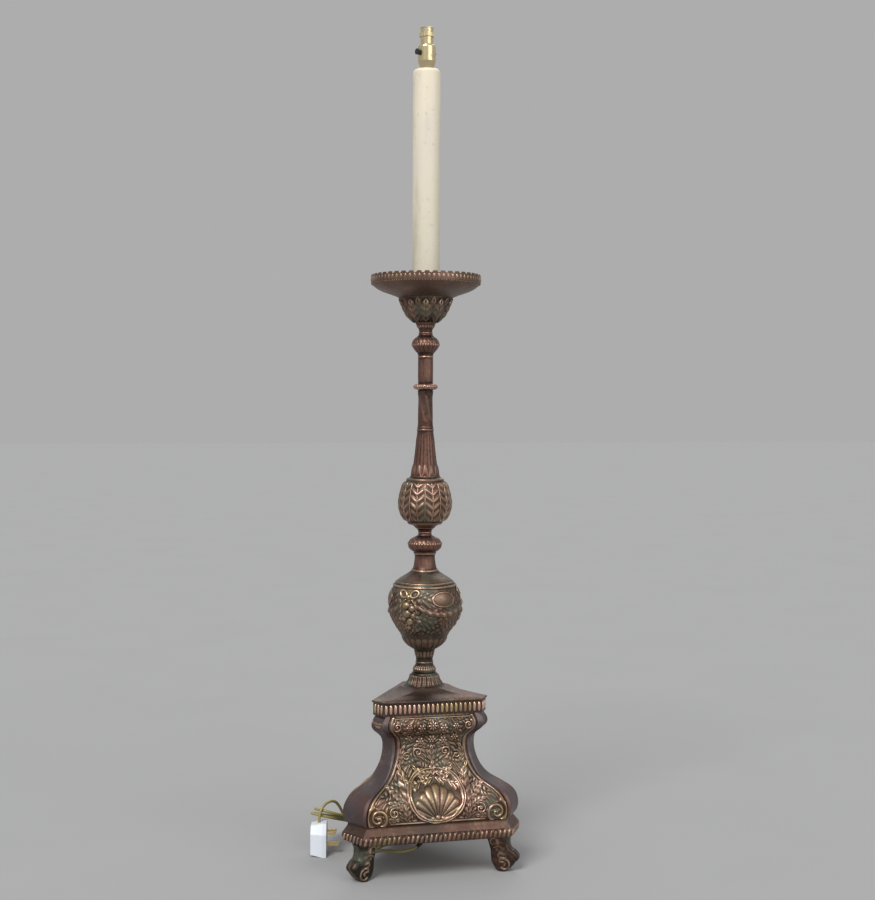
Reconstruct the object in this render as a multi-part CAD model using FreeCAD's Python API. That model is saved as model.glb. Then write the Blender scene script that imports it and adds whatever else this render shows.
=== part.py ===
import FreeCAD, Part
import math
import os

# Candlestick floor lamp: a three-sided repousse plinth on scroll feet, a turned stem with a
# vase, knops and a drip pan, a candle sleeve and a switched bayonet lampholder.
#
# Frame: millimetres, +Z up, origin on the floor under the stem. The front panel faces -Y and
# the back corner of the plinth points to +Y.

Vec = FreeCAD.Vector

# --- stem and shells -------------------------------------------------------------------------
ROD_RADIUS = 5.0  # threaded centre tube that clamps the whole stack
ROD_BORE = 3.6
ROD_FIT = 0.2  # radial room between the tube and what is threaded on it
SHELL_WALL = 1.8  # spun and chased sheet metal

# --- plinth: three faces with cut corners ----------------------------------------------------
SHEET = 1.5  # chased sheet on the plinth
BOARD_BOTTOM = 68.0
BOARD_HEIGHT = 36.0
PLINTH_HEIGHT = 187.0  # from the board to the underside of the frieze
FRIEZE_HEIGHT = 23.0
LIP_HEIGHT = 3.5
LIP_OVERHANG = 2.5
ROOF_HEIGHT = 15.0
ROOF_TOP_REACH = 40.0
ROOF_WALL = 2.0
STRAP_PROUD = 1.0  # the corner straps stand this far over the panels
CORNICE_REACH = 115.5  # from the axis to a cut corner
CORNICE_CUT = 28.0  # width of a cut corner
WAIST_REACH = 92.0
WAIST_CUT = 26.0
FLARE_REACH = 174.0
FLARE_CUT = 56.0
SLAB_REACH = 177.0
SLAB_CUT = 58.0
EAR_SWELL = 2.0  # how far the ears under the frieze stand past the cornice
STRAP_WRAP = 1.18  # slope x / y of the seam between a panel and a corner strap
FLUTE_PITCH = 8.8
FLUTE_DEPTH = 2.2
FRIEZE_WALL = 4.5
BOARD_INSET = 12.0  # from the slab's widest line to the wooden board
GADROON_PITCH = 11.5
GADROON_DEPTH = 2.4
GADROON_HEIGHT = 15.0

# --- scroll feet -----------------------------------------------------------------------------
FOOT_THICKNESS = 26.0
FOOT_INNER = 118.0  # distances from the axis, along the foot
FOOT_PAD = 153.0
FOOT_ANKLE = 171.0
FOOT_TOE = 184.0
PAD_HALF = 6.0
TOE_HEIGHT = 25.0
FOOT_STUD_RADIUS = 3.0
FOOT_STUD_DEPTH = 14.0  # into the foot
FOOT_STUD_REACH = 20.0  # into the board

# --- turned stem, from the roof up -------------------------------------------------------------
COLLAR_HEIGHT = 24.0
SOCLE_HEIGHT = 45.0
VASE_HEIGHT = 145.0
VASE_NECK_HEIGHT = 38.0
LOWER_KNOP_HEIGHT = 29.0
SPOOL_HEIGHT = 20.0
BULB_HEIGHT = 90.0
TAPER_HEIGHT = 161.0
RING_KNOP_HEIGHT = 17.0
COLUMN_HEIGHT = 52.0
UPPER_KNOP_HEIGHT = 36.0
CUP_NECK_HEIGHT = 24.0
CUP_HEIGHT = 47.0
COLUMN_RADIUS = 14.1
VASE_RADIUS = 67.0
BULB_RADIUS = 47.8
LOWER_KNOP_RADIUS = 31.0
UPPER_KNOP_RADIUS = 25.2
RING_KNOP_RADIUS = 21.4
CUP_RADIUS = 51.5
SOCLE_RADIUS = 21.6
SOCLE_WAIST = 16.0
SOCLE_BEAD = 9.0
VASE_NECK_RADIUS = 26.8
TAPER_RADIUS = 28.5
WASHER_RADIUS = 18.0
WASHER_HEIGHT = 2.0
NUT_FLATS = 17.0
NUT_HEIGHT = 7.0
TUBE_BELOW_NUT = 1.0

# --- drip pan ----------------------------------------------------------------------------------
PAN_RADIUS = 103.2
PAN_DEPTH = 27.0
PAN_WALL = 2.0
CROWN_HEIGHT = 15.0
CROWN_WALL = 2.2
CROWN_NOTCHES = 44  # even: each cutter goes right across
NOTCH_RADIUS = 3.4

# --- candle sleeve -------------------------------------------------------------------------------
CANDLE_RADIUS = 26.0
CANDLE_WALL = 1.8
CANDLE_HEIGHT = 424.0
CANDLE_SHOULDER = 7.0
SEAT_HEIGHT = 18.0
SEAT_FIT = 0.2
COLLAR_RING_HEIGHT = 2.5
COLLAR_RING_RADIUS = 13.0

# --- lampholder: bayonet, with a press-bar switch --------------------------------------------------
SOCKET_RADIUS = 11.3
BARREL_RADIUS = 12.1
BARREL_LIP = 1.0
BARREL_LENGTH = 39.0
MOUTH_LENGTH = 14.0  # full-bore length that takes the lamp cap
INNER_STEP = 0.3  # the barrel narrows by this below the mouth
BODY_RADIUS = 17.0
BODY_WALL = 1.2
BODY_HEIGHT = 25.0
SHOULDER_HEIGHT = 7.0
CAP_HEIGHT = 12.5
CAP_FLOOR = 3.0
CAP_FOOT = 13.0
RING_RADIUS = 14.4
RING_HEIGHT = 7.0
RING_DROP = 11.0  # below the barrel's rim
RING_GROOVES = 18
RING_GROOVE = 1.0
RUNNING_FIT = 0.05
SLOT_WIDTH = 2.8
SLOT_DEPTH = 9.0
SLOT_HOOK = 5.0
SLOT_ANGLE = -103.5  # degrees, direction of one bayonet slot
SWITCH_AXIS_ANGLE = 24.0  # degrees, the way the press bar slides
BUTTON_RADIUS = 5.6
BUTTON_LENGTH = 10.0
SWITCH_TRAVEL = 6.0
BUTTON_PROUD = 1.0  # how far the pressed-in end still stands out
BAR_RADIUS = 2.8
BLOCK_HALF = 7.0
BLOCK_HEIGHT = 22.0  # its top, over the bottom of the body
BAR_HEIGHT = 16.0  # the press bar, over the bottom of the body
INSERT_HEIGHT = 15.0
PLUNGER_SPREAD = 5.4  # from the axis to a contact plunger
PLUNGER_RADIUS = 1.6
PLUNGER_SHOULDER = 2.2
PLUNGER_SHOULDER_HEIGHT = 3.0
PLUNGER_PROUD = 4.0
PLUNGER_WELL = 12.0
WELL_ROOF = 2.0

# --- flexible lead and plug -------------------------------------------------------------------------
FLEX_RADIUS = 2.7
CORE_FLEX_RADIUS = 2.6  # the same lead with its sleeve stripped, inside the tube
TURN_PITCH = 6.1  # centre to centre of neighbouring turns
INNER_FOLD = 16.4  # radius of the tightest fold of the hank
HANK_RUN = 142.0  # between the fold centres
LOOPS_PER_LAYER = 2
HANK_MID = Vec(-110.2, 160.1, 41.0)
HANK_HEADING = 38.2  # degrees, plan direction from the raised end to the low end
HANK_SLOPE = 19.3  # degrees that it falls, from the plug's top to the floor
LEAD_JOIN = -20.0  # where the plug's lead joins the innermost run, from the middle
TAIL_JOIN = -25.0
TIE_PLACE = 34.0  # from the middle of the hank, towards its low end
TIE_WIDTH = 12.0
TIE_WALL = 1.2
TIE_FIT = 0.4
PLUG_MID = Vec(-184.7, 87.5, 0.0)
PLUG_ANGLE = -13.5  # degrees, the way the pins point
PLUG_HEIGHT = 62.0
PLUG_WIDTH = 48.0
PLUG_THICKNESS = 30.0
PLUG_BASE = 7.0  # thickness of the half that carries the pins
PLUG_WALL = 2.2
PLUG_DRAFT = 5.0  # the cover narrows by this to its back
PLUG_LIFT = 4.0  # and its foot rises by this
ENTRY_FIT = 0.05  # radial room round the lead where it enters the plug
PLUG_SCREW_RADIUS = 2.0
PLUG_SCREW_HEIGHT = 33.0
EARTH_PIN_HEIGHT = 20.0
EARTH_PIN_LENGTH = 22.7
LINE_PIN_LENGTH = 17.7
PIN_SPACING = 22.2
FUSE_RADIUS = 3.1
FUSE_LENGTH = 25.4
FUSE_OFFSET = 10.0
GLAND_LENGTH = 6.0
GLAND_RADIUS = 6.5

# The lead's free routes, chosen by hand to follow the picture: from under the stem to the
# hank, and from the hank to the plug.
TAIL_ROUTE = [
    (0.0, 0.0, 52.0),
    (0.0, 0.0, 44.0),
    (-8.0, -9.0, 36.0),
    (-26.9, -26.4, 32.0),
    (-56.5, -29.6, 30.0),
    (-82.3, -17.3, 33.0),
    (-101.0, 7.8, 20.0),
    (-103.0, 38.0, 7.0),
    (-90.0, 66.0, 3.2),
    (-69.0, 92.0, 3.0),
    (-49.0, 112.0, 3.0),
    (-42.0, 130.0, 3.2),
    (-46.0, 148.0, 4.5),
    (-60.0, 160.0, 9.0),
    (-78.0, 161.0, 16.8),
    (-93.3, 151.8, 28.5),
    (-106.8, 141.9, 40.8),
    (-119.4, 132.0, 46.4),
]
PLUG_ROUTE = [
    (-114.1, 136.2, 50.5),
    (-128.9, 124.5, 57.1),
    (-144.1, 114.4, 88.6),
    (-159.1, 104.5, 96.1),
    (-174.8, 94.1, 91.0),
    (-184.7, 87.5, 75.6),
    (-184.7, 87.5, 57.0),
]

BORE = ROD_RADIUS + ROD_FIT
CORNERS = (210.0, 330.0, 90.0)

# --- heights, stacked from the floor up --------------------------------------------------------------
Z_BOARD = BOARD_BOTTOM
Z_PLINTH = Z_BOARD + BOARD_HEIGHT
Z_FRIEZE = Z_PLINTH + PLINTH_HEIGHT
Z_LIP = Z_FRIEZE + FRIEZE_HEIGHT
Z_ROOF = Z_LIP + LIP_HEIGHT
Z_COLLAR = Z_ROOF + ROOF_HEIGHT
Z_SOCLE = Z_COLLAR + COLLAR_HEIGHT
Z_VASE = Z_SOCLE + SOCLE_HEIGHT
Z_VASE_NECK = Z_VASE + VASE_HEIGHT
Z_LOWER_KNOP = Z_VASE_NECK + VASE_NECK_HEIGHT
Z_SPOOL = Z_LOWER_KNOP + LOWER_KNOP_HEIGHT
Z_BULB = Z_SPOOL + SPOOL_HEIGHT
Z_TAPER = Z_BULB + BULB_HEIGHT
Z_RING_KNOP = Z_TAPER + TAPER_HEIGHT
Z_COLUMN = Z_RING_KNOP + RING_KNOP_HEIGHT
Z_UPPER_KNOP = Z_COLUMN + COLUMN_HEIGHT
Z_CUP_NECK = Z_UPPER_KNOP + UPPER_KNOP_HEIGHT
Z_CUP = Z_CUP_NECK + CUP_NECK_HEIGHT
Z_PAN = Z_CUP + CUP_HEIGHT
Z_PAN_FLOOR = Z_PAN + 5.0
Z_CROWN = Z_PAN + PAN_DEPTH
Z_CANDLE_TOP = Z_PAN_FLOOR + CANDLE_HEIGHT
Z_CAP = Z_CANDLE_TOP + COLLAR_RING_HEIGHT
Z_BODY = Z_CAP + CAP_HEIGHT
Z_BARREL = Z_BODY + BODY_HEIGHT
Z_RIM = Z_BARREL + BARREL_LENGTH
Z_INSERT = Z_BODY + BLOCK_HEIGHT
Z_INSERT_TOP = Z_INSERT + INSERT_HEIGHT
Z_CAP_FLOOR = Z_CAP + CAP_FLOOR
Z_NUT = Z_BOARD - WASHER_HEIGHT - NUT_HEIGHT
Z_TUBE = Z_NUT - TUBE_BELOW_NUT
Z_GLAND = Z_TUBE - GLAND_LENGTH


# --- helpers -----------------------------------------------------------------------------------------
def polar(radius, degrees, z=0.0):
    return Vec(radius * math.cos(math.radians(degrees)), radius * math.sin(math.radians(degrees)), z)


def ring(outer, inner, z, height):
    """A plain washer or sleeve on the stem's axis."""
    solid = Part.makeCylinder(outer, height, Vec(0, 0, z))
    if inner > 0:
        solid = solid.cut(Part.makeCylinder(inner, height, Vec(0, 0, z)))
    return solid


def smooth(points):
    """A smooth edge through the given points."""
    curve = Part.BSplineCurve()
    curve.interpolate([Vec(*p) for p in points])
    return curve.toShape()


def arc(start, middle, end):
    return Part.Arc(Vec(*start), Vec(*middle), Vec(*end)).toShape()


def line(start, end):
    return Part.makeLine(Vec(*start), Vec(*end))


def revolve(edges):
    """Revolve a closed outline, drawn in the XZ plane, about the stem."""
    face = Part.Face(Part.Wire(Part.__sortEdges__(edges)))
    return face.revolve(Vec(0, 0, 0), Vec(0, 0, 1), 360)


def bored(outline, bore=BORE):
    """Turn an open outline, from its lowest to its highest point, into a solid with a bore."""
    low = outline[0].Vertexes[0].Point
    high = outline[-1].Vertexes[-1].Point
    edges = outline + [
        line(high, (bore, 0, high.z)),
        line((bore, 0, high.z), (bore, 0, low.z)),
        line((bore, 0, low.z), low),
    ]
    return revolve(edges)


def hollow(points):
    """A spun shell: a smooth outer profile (radius, height), one wall thick, closed round the bore."""
    (foot, low), (head, high) = points[0], points[-1]
    profile_edge = smooth([(r, 0, z) for r, z in points])
    face = Part.Face(Part.Wire([
        profile_edge,
        line((head, 0, high), (0, 0, high)),
        line((0, 0, high), (0, 0, low)),
        line((0, 0, low), (foot, 0, low)),
    ]))
    inset = [e for e in face.makeOffset2D(-SHELL_WALL).Edges if e.Curve.TypeId != "Part::GeomLine"]
    along = max(inset, key=lambda e: e.Length).discretize(Number=2 * len(points))
    along.sort(key=lambda p: p.z)
    return bored([profile_edge]).cut(bored([smooth([(p.x, 0, p.z) for p in along])], BORE / 2.0))


def knop(z, height, neck, radius):
    """A round bead between two necks: the outline's middle is one arc."""
    middle = z + height / 2.0
    fillet = height * 0.2
    start = (neck, 0, z + fillet)
    end = (neck, 0, z + height - fillet)
    return bored([
        line((neck, 0, z), start),
        arc(start, (radius, 0, middle), end),
        line(end, (neck, 0, z + height)),
    ])


def three_sided(reach, cut, z):
    """Corner points of the plinth's section: a triangle with its corners cut."""
    points = []
    for turn in CORNERS:
        out = polar(reach, turn, z)
        side = polar(cut / 2.0, turn + 90.0)
        points += [out - side, out + side]
    return points


def inwards(reach, cut, inset):
    """The reach and cut of a section whose six sides all lie further in."""
    return reach - inset, cut - inset * 2.0 / math.sqrt(3.0)


def section(reach, cut, z):
    points = three_sided(reach, cut, z)
    return Part.makePolygon(points + [points[0]])


def prism(reach, cut, z, height):
    return Part.Face(section(reach, cut, z)).extrude(Vec(0, 0, height))


def with_bore(solid, z, height):
    return solid.cut(Part.makeCylinder(BORE, height, Vec(0, 0, z)))


def lobed_section(reach, cut, z, pitch, depth):
    """The three-sided section with arcs along its faces: hollows for depth < 0, lobes for > 0."""
    points = three_sided(reach, cut, z)
    edges = []
    for index, start in enumerate(points):
        end = points[(index + 1) % len(points)]
        length = (end - start).Length
        along = (end - start) / length
        outward = Vec(along.y, -along.x, 0)
        count = int(length / pitch) - 1
        if count < 4:
            edges.append(Part.makeLine(start, end))
            continue
        margin = (length - count * pitch) / 2.0
        here = start + along * margin
        edges.append(Part.makeLine(start, here))
        for _ in range(count):
            there = here + along * pitch * 0.84
            top = (here + there) * 0.5 + outward * depth
            edges.append(Part.Arc(here, top, there).toShape())
            here = here + along * pitch
            edges.append(Part.makeLine(there, here))
        edges.append(Part.makeLine(here, end))
    return Part.Wire(edges)


def rounded_route(points, radii_name):
    """Straight runs joined by tangent arcs through the route, and the wire's least radius."""
    points = [Vec(*p) for p in points]
    edges = []
    here = points[0]
    least = None
    for before, corner, after in zip(points, points[1:], points[2:]):
        back = (before - corner)
        ahead = (after - corner)
        turn = math.pi - back.getAngle(ahead)
        radius = 0.45 * min(back.Length, ahead.Length) / math.tan(turn / 2.0)
        trim = radius * math.tan(turn / 2.0)
        start = corner + back.normalize() * trim
        end = corner + ahead.normalize() * trim
        bisector = (back + ahead).normalize()
        middle = corner + bisector * (radius / math.cos(turn / 2.0) - radius)
        edges.append(Part.LineSegment(here, start).toShape())
        edges.append(Part.Arc(start, middle, end).toShape())
        here = end
        least = radius if least is None else min(least, radius)
    edges.append(Part.LineSegment(here, points[-1]).toShape())
    wire = Part.Wire(edges)
    print(f"{radii_name}: length {wire.Length:.0f}, least radius {least:.1f}")
    return wire


def tube(wire, radius, name):
    """A round tube swept along a wire, with its volume compared with section times length."""
    start = wire.Edges[0]
    direction = start.tangentAt(start.FirstParameter)
    circle = Part.Wire(Part.makeCircle(radius, start.valueAt(start.FirstParameter), direction))
    solid = wire.makePipeShell([circle], True, False)
    expected = math.pi * radius ** 2 * wire.Length
    print(f"{name}: volume / (section x length) = {solid.Volume / expected:.4f}")
    return solid


# --- plinth ------------------------------------------------------------------------------------------
def plinth_levels():
    """Height share, reach and cut of the plinth's section: the S of its faces."""
    ear = CORNICE_REACH + EAR_SWELL
    return [
        (0.0, FLARE_REACH - 4.0, FLARE_CUT),
        (0.06, FLARE_REACH, FLARE_CUT),
        (0.14, FLARE_REACH - 1.0, FLARE_CUT - 1.0),
        (0.21, FLARE_REACH - 7.0, FLARE_CUT - 4.0),
        (0.30, WAIST_REACH + 50.0, WAIST_CUT + 18.0),
        (0.40, WAIST_REACH + 20.0, WAIST_CUT + 10.0),
        (0.52, WAIST_REACH + 6.0, WAIST_CUT + 4.0),
        (0.66, WAIST_REACH, WAIST_CUT),
        (0.76, WAIST_REACH + 3.0, WAIST_CUT),
        (0.82, (WAIST_REACH + ear) / 2.0 + 2.0, CORNICE_CUT - 1.0),
        (0.88, ear, CORNICE_CUT),
        (0.94, ear - 1.5, CORNICE_CUT),
        (1.0, ear - 8.5, CORNICE_CUT - 1.0),
    ]


def plinth_body(inset):
    sections = []
    for share, reach, cut in plinth_levels():
        z = Z_PLINTH + share * PLINTH_HEIGHT
        sections.append(section(*inwards(reach, cut, inset), z))
    return Part.makeLoft(sections, True, False)


def face_sector(turn):
    """A wedge that holds one face of the plinth, without its cut corners."""
    far = FLARE_REACH * 2.0
    a = Vec(0, 0, Z_PLINTH)
    b = Vec(-far * STRAP_WRAP, -far, Z_PLINTH)
    c = Vec(far * STRAP_WRAP, -far, Z_PLINTH)
    wedge = Part.Face(Part.makePolygon([a, b, c, a])).extrude(Vec(0, 0, PLINTH_HEIGHT))
    wedge.rotate(Vec(0, 0, 0), Vec(0, 0, 1), turn)
    return wedge


def corner_sector(turn):
    """The wedge between two neighbouring faces."""
    far = FLARE_REACH * 2.0
    half = 60.0 - math.degrees(math.atan(STRAP_WRAP))
    a = Vec(0, 0, Z_PLINTH)
    b = polar(far, turn - half, Z_PLINTH)
    c = polar(far, turn + half, Z_PLINTH)
    return Part.Face(Part.makePolygon([a, b, c, a])).extrude(Vec(0, 0, PLINTH_HEIGHT))


def spun(solid, turn):
    copy = solid.copy()
    copy.rotate(Vec(0, 0, 0), Vec(0, 0, 1), turn)
    return copy


def panel(core, turn):
    """One chased sheet: the outer face of the plinth between two corner straps."""
    return plinth_body(0.0).common(face_sector(turn)).cut(core)


def corner_strap(core, turn):
    """A smooth strap over a cut corner, thicker than the panels that it covers."""
    return plinth_body(-STRAP_PROUD).common(corner_sector(turn)).cut(core)


def base_board():
    """The wooden board that the feet are screwed to, inside the gadrooned moulding."""
    board = prism(*inwards(SLAB_REACH, SLAB_CUT, BOARD_INSET), Z_BOARD, BOARD_HEIGHT)
    board = with_bore(board, Z_BOARD, BOARD_HEIGHT)
    for turn in CORNERS:
        place = polar(FOOT_PAD, turn, Z_BOARD)
        board = board.cut(Part.makeCylinder(FOOT_STUD_RADIUS, FOOT_STUD_REACH, place))
    return board


def base_moulding():
    """Splayed moulding round the board, with a row of lobes along each side."""
    levels = [
        (0.0, SLAB_REACH - 10.0, SLAB_CUT - 6.0),
        (0.12, SLAB_REACH - 6.0, SLAB_CUT - 3.0),
        (0.33, SLAB_REACH, SLAB_CUT),
        (0.62, SLAB_REACH - 5.0, SLAB_CUT - 3.0),
        (1.0, SLAB_REACH - 9.0, SLAB_CUT - 5.0),
    ]
    wires = [section(r, w, Z_BOARD + share * BOARD_HEIGHT) for share, r, w in levels]
    body = Part.makeLoft(wires, True, False)
    reach, cut = inwards(SLAB_REACH, SLAB_CUT, 1.5)
    lobes = lobed_section(reach, cut, Z_BOARD + 4.0, GADROON_PITCH, GADROON_DEPTH)
    body = body.fuse(Part.Face(lobes).extrude(Vec(0, 0, GADROON_HEIGHT)))
    board = prism(*inwards(SLAB_REACH, SLAB_CUT, BOARD_INSET), Z_BOARD, BOARD_HEIGHT)
    return body.cut(board)


def foot(turn):
    """A scroll foot: its side outline, drawn along the foot, given its thickness."""
    top = Z_BOARD
    side = -FOOT_THICKNESS / 2.0
    heel = FOOT_PAD - PAD_HALF
    ball = FOOT_PAD + PAD_HALF
    edges = [
        line((FOOT_INNER, side, top), (FOOT_ANKLE, side, top)),
        arc((FOOT_ANKLE, side, top), (FOOT_ANKLE - 5.0, side, 52.0), (FOOT_ANKLE - 1.0, side, 40.0)),
        arc((FOOT_ANKLE - 1.0, side, 40.0), (FOOT_ANKLE + 6.0, side, 36.5),
            (FOOT_TOE - 4.0, side, TOE_HEIGHT + 8.0)),
        arc((FOOT_TOE - 4.0, side, TOE_HEIGHT + 8.0), (FOOT_TOE, side, TOE_HEIGHT + 1.0),
            (FOOT_TOE - 5.0, side, TOE_HEIGHT - 6.0)),
        arc((FOOT_TOE - 5.0, side, TOE_HEIGHT - 6.0), (ball + 9.0, side, 6.0), (ball, side, 0.0)),
        line((ball, side, 0.0), (heel, side, 0.0)),
        arc((heel, side, 0.0), (heel - 10.0, side, 9.0), (heel - 15.0, side, 26.0)),
        arc((heel - 15.0, side, 26.0), (heel - 19.0, side, 49.0), (FOOT_INNER, side, top)),
    ]
    solid = Part.Face(Part.Wire(edges)).extrude(Vec(0, FOOT_THICKNESS, 0))
    stud = Part.makeCylinder(FOOT_STUD_RADIUS, FOOT_STUD_DEPTH, Vec(FOOT_PAD, 0, top - FOOT_STUD_DEPTH))
    return spun(solid.cut(stud), turn)


def foot_studs():
    height = FOOT_STUD_DEPTH + FOOT_STUD_REACH
    studs = []
    for turn in CORNERS:
        place = polar(FOOT_PAD, turn, Z_BOARD - FOOT_STUD_DEPTH)
        studs.append(Part.makeCylinder(FOOT_STUD_RADIUS, height, place))
    return Part.makeCompound(studs)


def cornice_block():
    block = prism(*inwards(CORNICE_REACH, CORNICE_CUT, FRIEZE_WALL), Z_FRIEZE, FRIEZE_HEIGHT)
    return with_bore(block, Z_FRIEZE, FRIEZE_HEIGHT)


def fluted_frieze():
    """The upright flutes round the cornice."""
    outline = lobed_section(CORNICE_REACH, CORNICE_CUT, Z_FRIEZE, FLUTE_PITCH, -FLUTE_DEPTH)
    band = Part.Face(outline).extrude(Vec(0, 0, FRIEZE_HEIGHT))
    block = prism(*inwards(CORNICE_REACH, CORNICE_CUT, FRIEZE_WALL), Z_FRIEZE, FRIEZE_HEIGHT)
    return band.cut(block)


def cornice_lip():
    """The rolled edge over the frieze."""
    lip = prism(*inwards(CORNICE_REACH, CORNICE_CUT, -LIP_OVERHANG), Z_LIP, LIP_HEIGHT)
    level = [e for e in lip.Edges if abs(e.Vertexes[0].Z - e.Vertexes[1].Z) < 0.001]
    return with_bore(lip.makeFillet(LIP_HEIGHT * 0.45, level), Z_LIP, LIP_HEIGHT)


def roof_body(wall):
    levels = [
        (0.0, CORNICE_REACH - 1.0, CORNICE_CUT - 1.0),
        (0.3, ROOF_TOP_REACH + 44.0, CORNICE_CUT + 6.0),
        (0.6, ROOF_TOP_REACH + 18.0, CORNICE_CUT + 13.0),
        (1.0, ROOF_TOP_REACH, ROOF_TOP_REACH * 2.0 / math.sqrt(3.0)),
    ]
    wires = []
    for share, reach, cut in levels:
        wires.append(section(*inwards(reach, cut, wall * 1.5), Z_ROOF + share * ROOF_HEIGHT - wall))
    return Part.makeLoft(wires, True, False)


def plinth_roof():
    """The dished three-sided roof that the stem stands on."""
    return with_bore(roof_body(0.0).cut(roof_body(ROOF_WALL)), Z_ROOF, ROOF_HEIGHT)


# --- turned stem --------------------------------------------------------------------------------------
def profile(shares, radius, z, height):
    """Scale an outline of (radius share, height share) to a piece's own size."""
    return [(radius * r, z + height * share) for r, share in shares]


def leaf_collar():
    shares = [(1.0, 0.0), (0.83, 0.16), (0.71, 0.4), (0.66, 0.65), (0.59, 1.0)]
    return hollow(profile(shares, ROOF_TOP_REACH - 1.0, Z_COLLAR, COLLAR_HEIGHT))


def vase_foot():
    """The socle under the vase: a bead, a waist and a flare."""
    top = Z_SOCLE + SOCLE_HEIGHT
    bead_top = Z_SOCLE + SOCLE_BEAD
    return bored([
        arc((SOCLE_RADIUS - 3.0, 0, Z_SOCLE), (SOCLE_RADIUS, 0, Z_SOCLE + SOCLE_BEAD / 2.0),
            (SOCLE_RADIUS - 3.0, 0, bead_top)),
        smooth([(SOCLE_RADIUS - 3.0, 0, bead_top), (SOCLE_WAIST + 0.5, 0, bead_top + 8.0),
                (SOCLE_WAIST, 0, top - 14.0), (SOCLE_WAIST + 2.0, 0, top - 5.0), (SOCLE_RADIUS, 0, top)]),
    ])


def vase_body():
    shares = [
        (0.32, 0.0), (0.45, 0.05), (0.60, 0.13), (0.745, 0.25), (0.90, 0.367), (0.985, 0.48),
        (1.0, 0.565), (0.975, 0.68), (0.92, 0.76), (0.80, 0.87), (0.56, 0.95), (0.40, 1.0),
    ]
    return hollow(profile(shares, VASE_RADIUS, Z_VASE, VASE_HEIGHT))


def vase_neck():
    shares = [(1.0, 0.0), (0.86, 0.12), (0.74, 0.4), (0.70, 0.68), (0.76, 0.9), (0.84, 1.0)]
    return hollow(profile(shares, VASE_NECK_RADIUS, Z_VASE_NECK, VASE_NECK_HEIGHT))


def lower_knop():
    shares = [(0.76, 0.0), (0.93, 0.17), (1.0, 0.4), (0.96, 0.6), (0.78, 0.8), (0.47, 1.0)]
    return hollow(profile(shares, LOWER_KNOP_RADIUS, Z_LOWER_KNOP, LOWER_KNOP_HEIGHT))


def bulb_spool():
    low, high = Z_SPOOL, Z_SPOOL + SPOOL_HEIGHT
    waist = COLUMN_RADIUS - 2.0
    return bored([smooth([(COLUMN_RADIUS, 0, low), (waist, 0, low + 5.5), (COLUMN_RADIUS, 0, low + 11.0),
                          (COLUMN_RADIUS + 5.0, 0, low + 16.0), (COLUMN_RADIUS + 10.0, 0, high)])])


def leaf_bulb():
    shares = [
        (0.52, 0.0), (0.72, 0.08), (0.885, 0.2), (0.965, 0.31), (1.0, 0.46), (0.95, 0.64),
        (0.885, 0.77), (0.77, 0.9), (0.60, 1.0),
    ]
    return hollow(profile(shares, BULB_RADIUS, Z_BULB, BULB_HEIGHT))


def tapered_stem():
    """The long bell over the leaf bulb, drawn out into the upper stem."""
    shares = [
        (1.0, 0.0), (0.88, 0.05), (0.755, 0.16), (0.66, 0.29), (0.575, 0.45), (0.505, 0.6),
        (0.47, 0.7), (0.463, 0.9), (0.52, 1.0),
    ]
    return hollow(profile(shares, TAPER_RADIUS, Z_TAPER, TAPER_HEIGHT))


def ring_knop():
    return knop(Z_RING_KNOP, RING_KNOP_HEIGHT, COLUMN_RADIUS, RING_KNOP_RADIUS)


def upper_column():
    return ring(COLUMN_RADIUS, BORE, Z_COLUMN, COLUMN_HEIGHT)


def upper_knop():
    shares = [(0.58, 0.0), (0.76, 0.22), (0.94, 0.4), (1.0, 0.55), (0.94, 0.7), (0.76, 0.86), (0.56, 1.0)]
    return hollow(profile(shares, UPPER_KNOP_RADIUS, Z_UPPER_KNOP, UPPER_KNOP_HEIGHT))


def cup_neck():
    low, high = Z_CUP_NECK, Z_CUP_NECK + CUP_NECK_HEIGHT
    waist = COLUMN_RADIUS - 1.8
    return bored([smooth([(COLUMN_RADIUS, 0, low), (waist, 0, low + 6.5), (COLUMN_RADIUS, 0, low + 13.5),
                          (COLUMN_RADIUS + 6.0, 0, high)])])


def calyx_cup():
    shares = [(0.40, 0.0), (0.54, 0.12), (0.67, 0.26), (0.79, 0.48), (0.89, 0.72), (1.0, 1.0)]
    return hollow(profile(shares, CUP_RADIUS, Z_CUP, CUP_HEIGHT))


# --- drip pan and candle --------------------------------------------------------------------------------
def drip_pan():
    """An open dish: coved underneath, with a flat floor for the candle sleeve."""
    rim = Z_PAN + PAN_DEPTH
    under = [(CUP_RADIUS, Z_PAN), (0.70 * PAN_RADIUS, Z_PAN + 0.30 * PAN_DEPTH),
             (0.86 * PAN_RADIUS, Z_PAN + 0.55 * PAN_DEPTH), (PAN_RADIUS, rim)]
    inside = [(r - PAN_WALL, z + 0.6 * PAN_WALL) for r, z in under[1:-1]]
    inside = [(CUP_RADIUS, Z_PAN_FLOOR)] + inside + [(PAN_RADIUS - PAN_WALL, rim)]
    return revolve([
        smooth([(r, 0, z) for r, z in under]),
        line((PAN_RADIUS, 0, rim), (PAN_RADIUS - PAN_WALL, 0, rim)),
        smooth([(r, 0, z) for r, z in reversed(inside)]),
        line((CUP_RADIUS, 0, Z_PAN_FLOOR), (BORE, 0, Z_PAN_FLOOR)),
        line((BORE, 0, Z_PAN_FLOOR), (BORE, 0, Z_PAN)),
        line((BORE, 0, Z_PAN), (CUP_RADIUS, 0, Z_PAN)),
    ])


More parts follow.
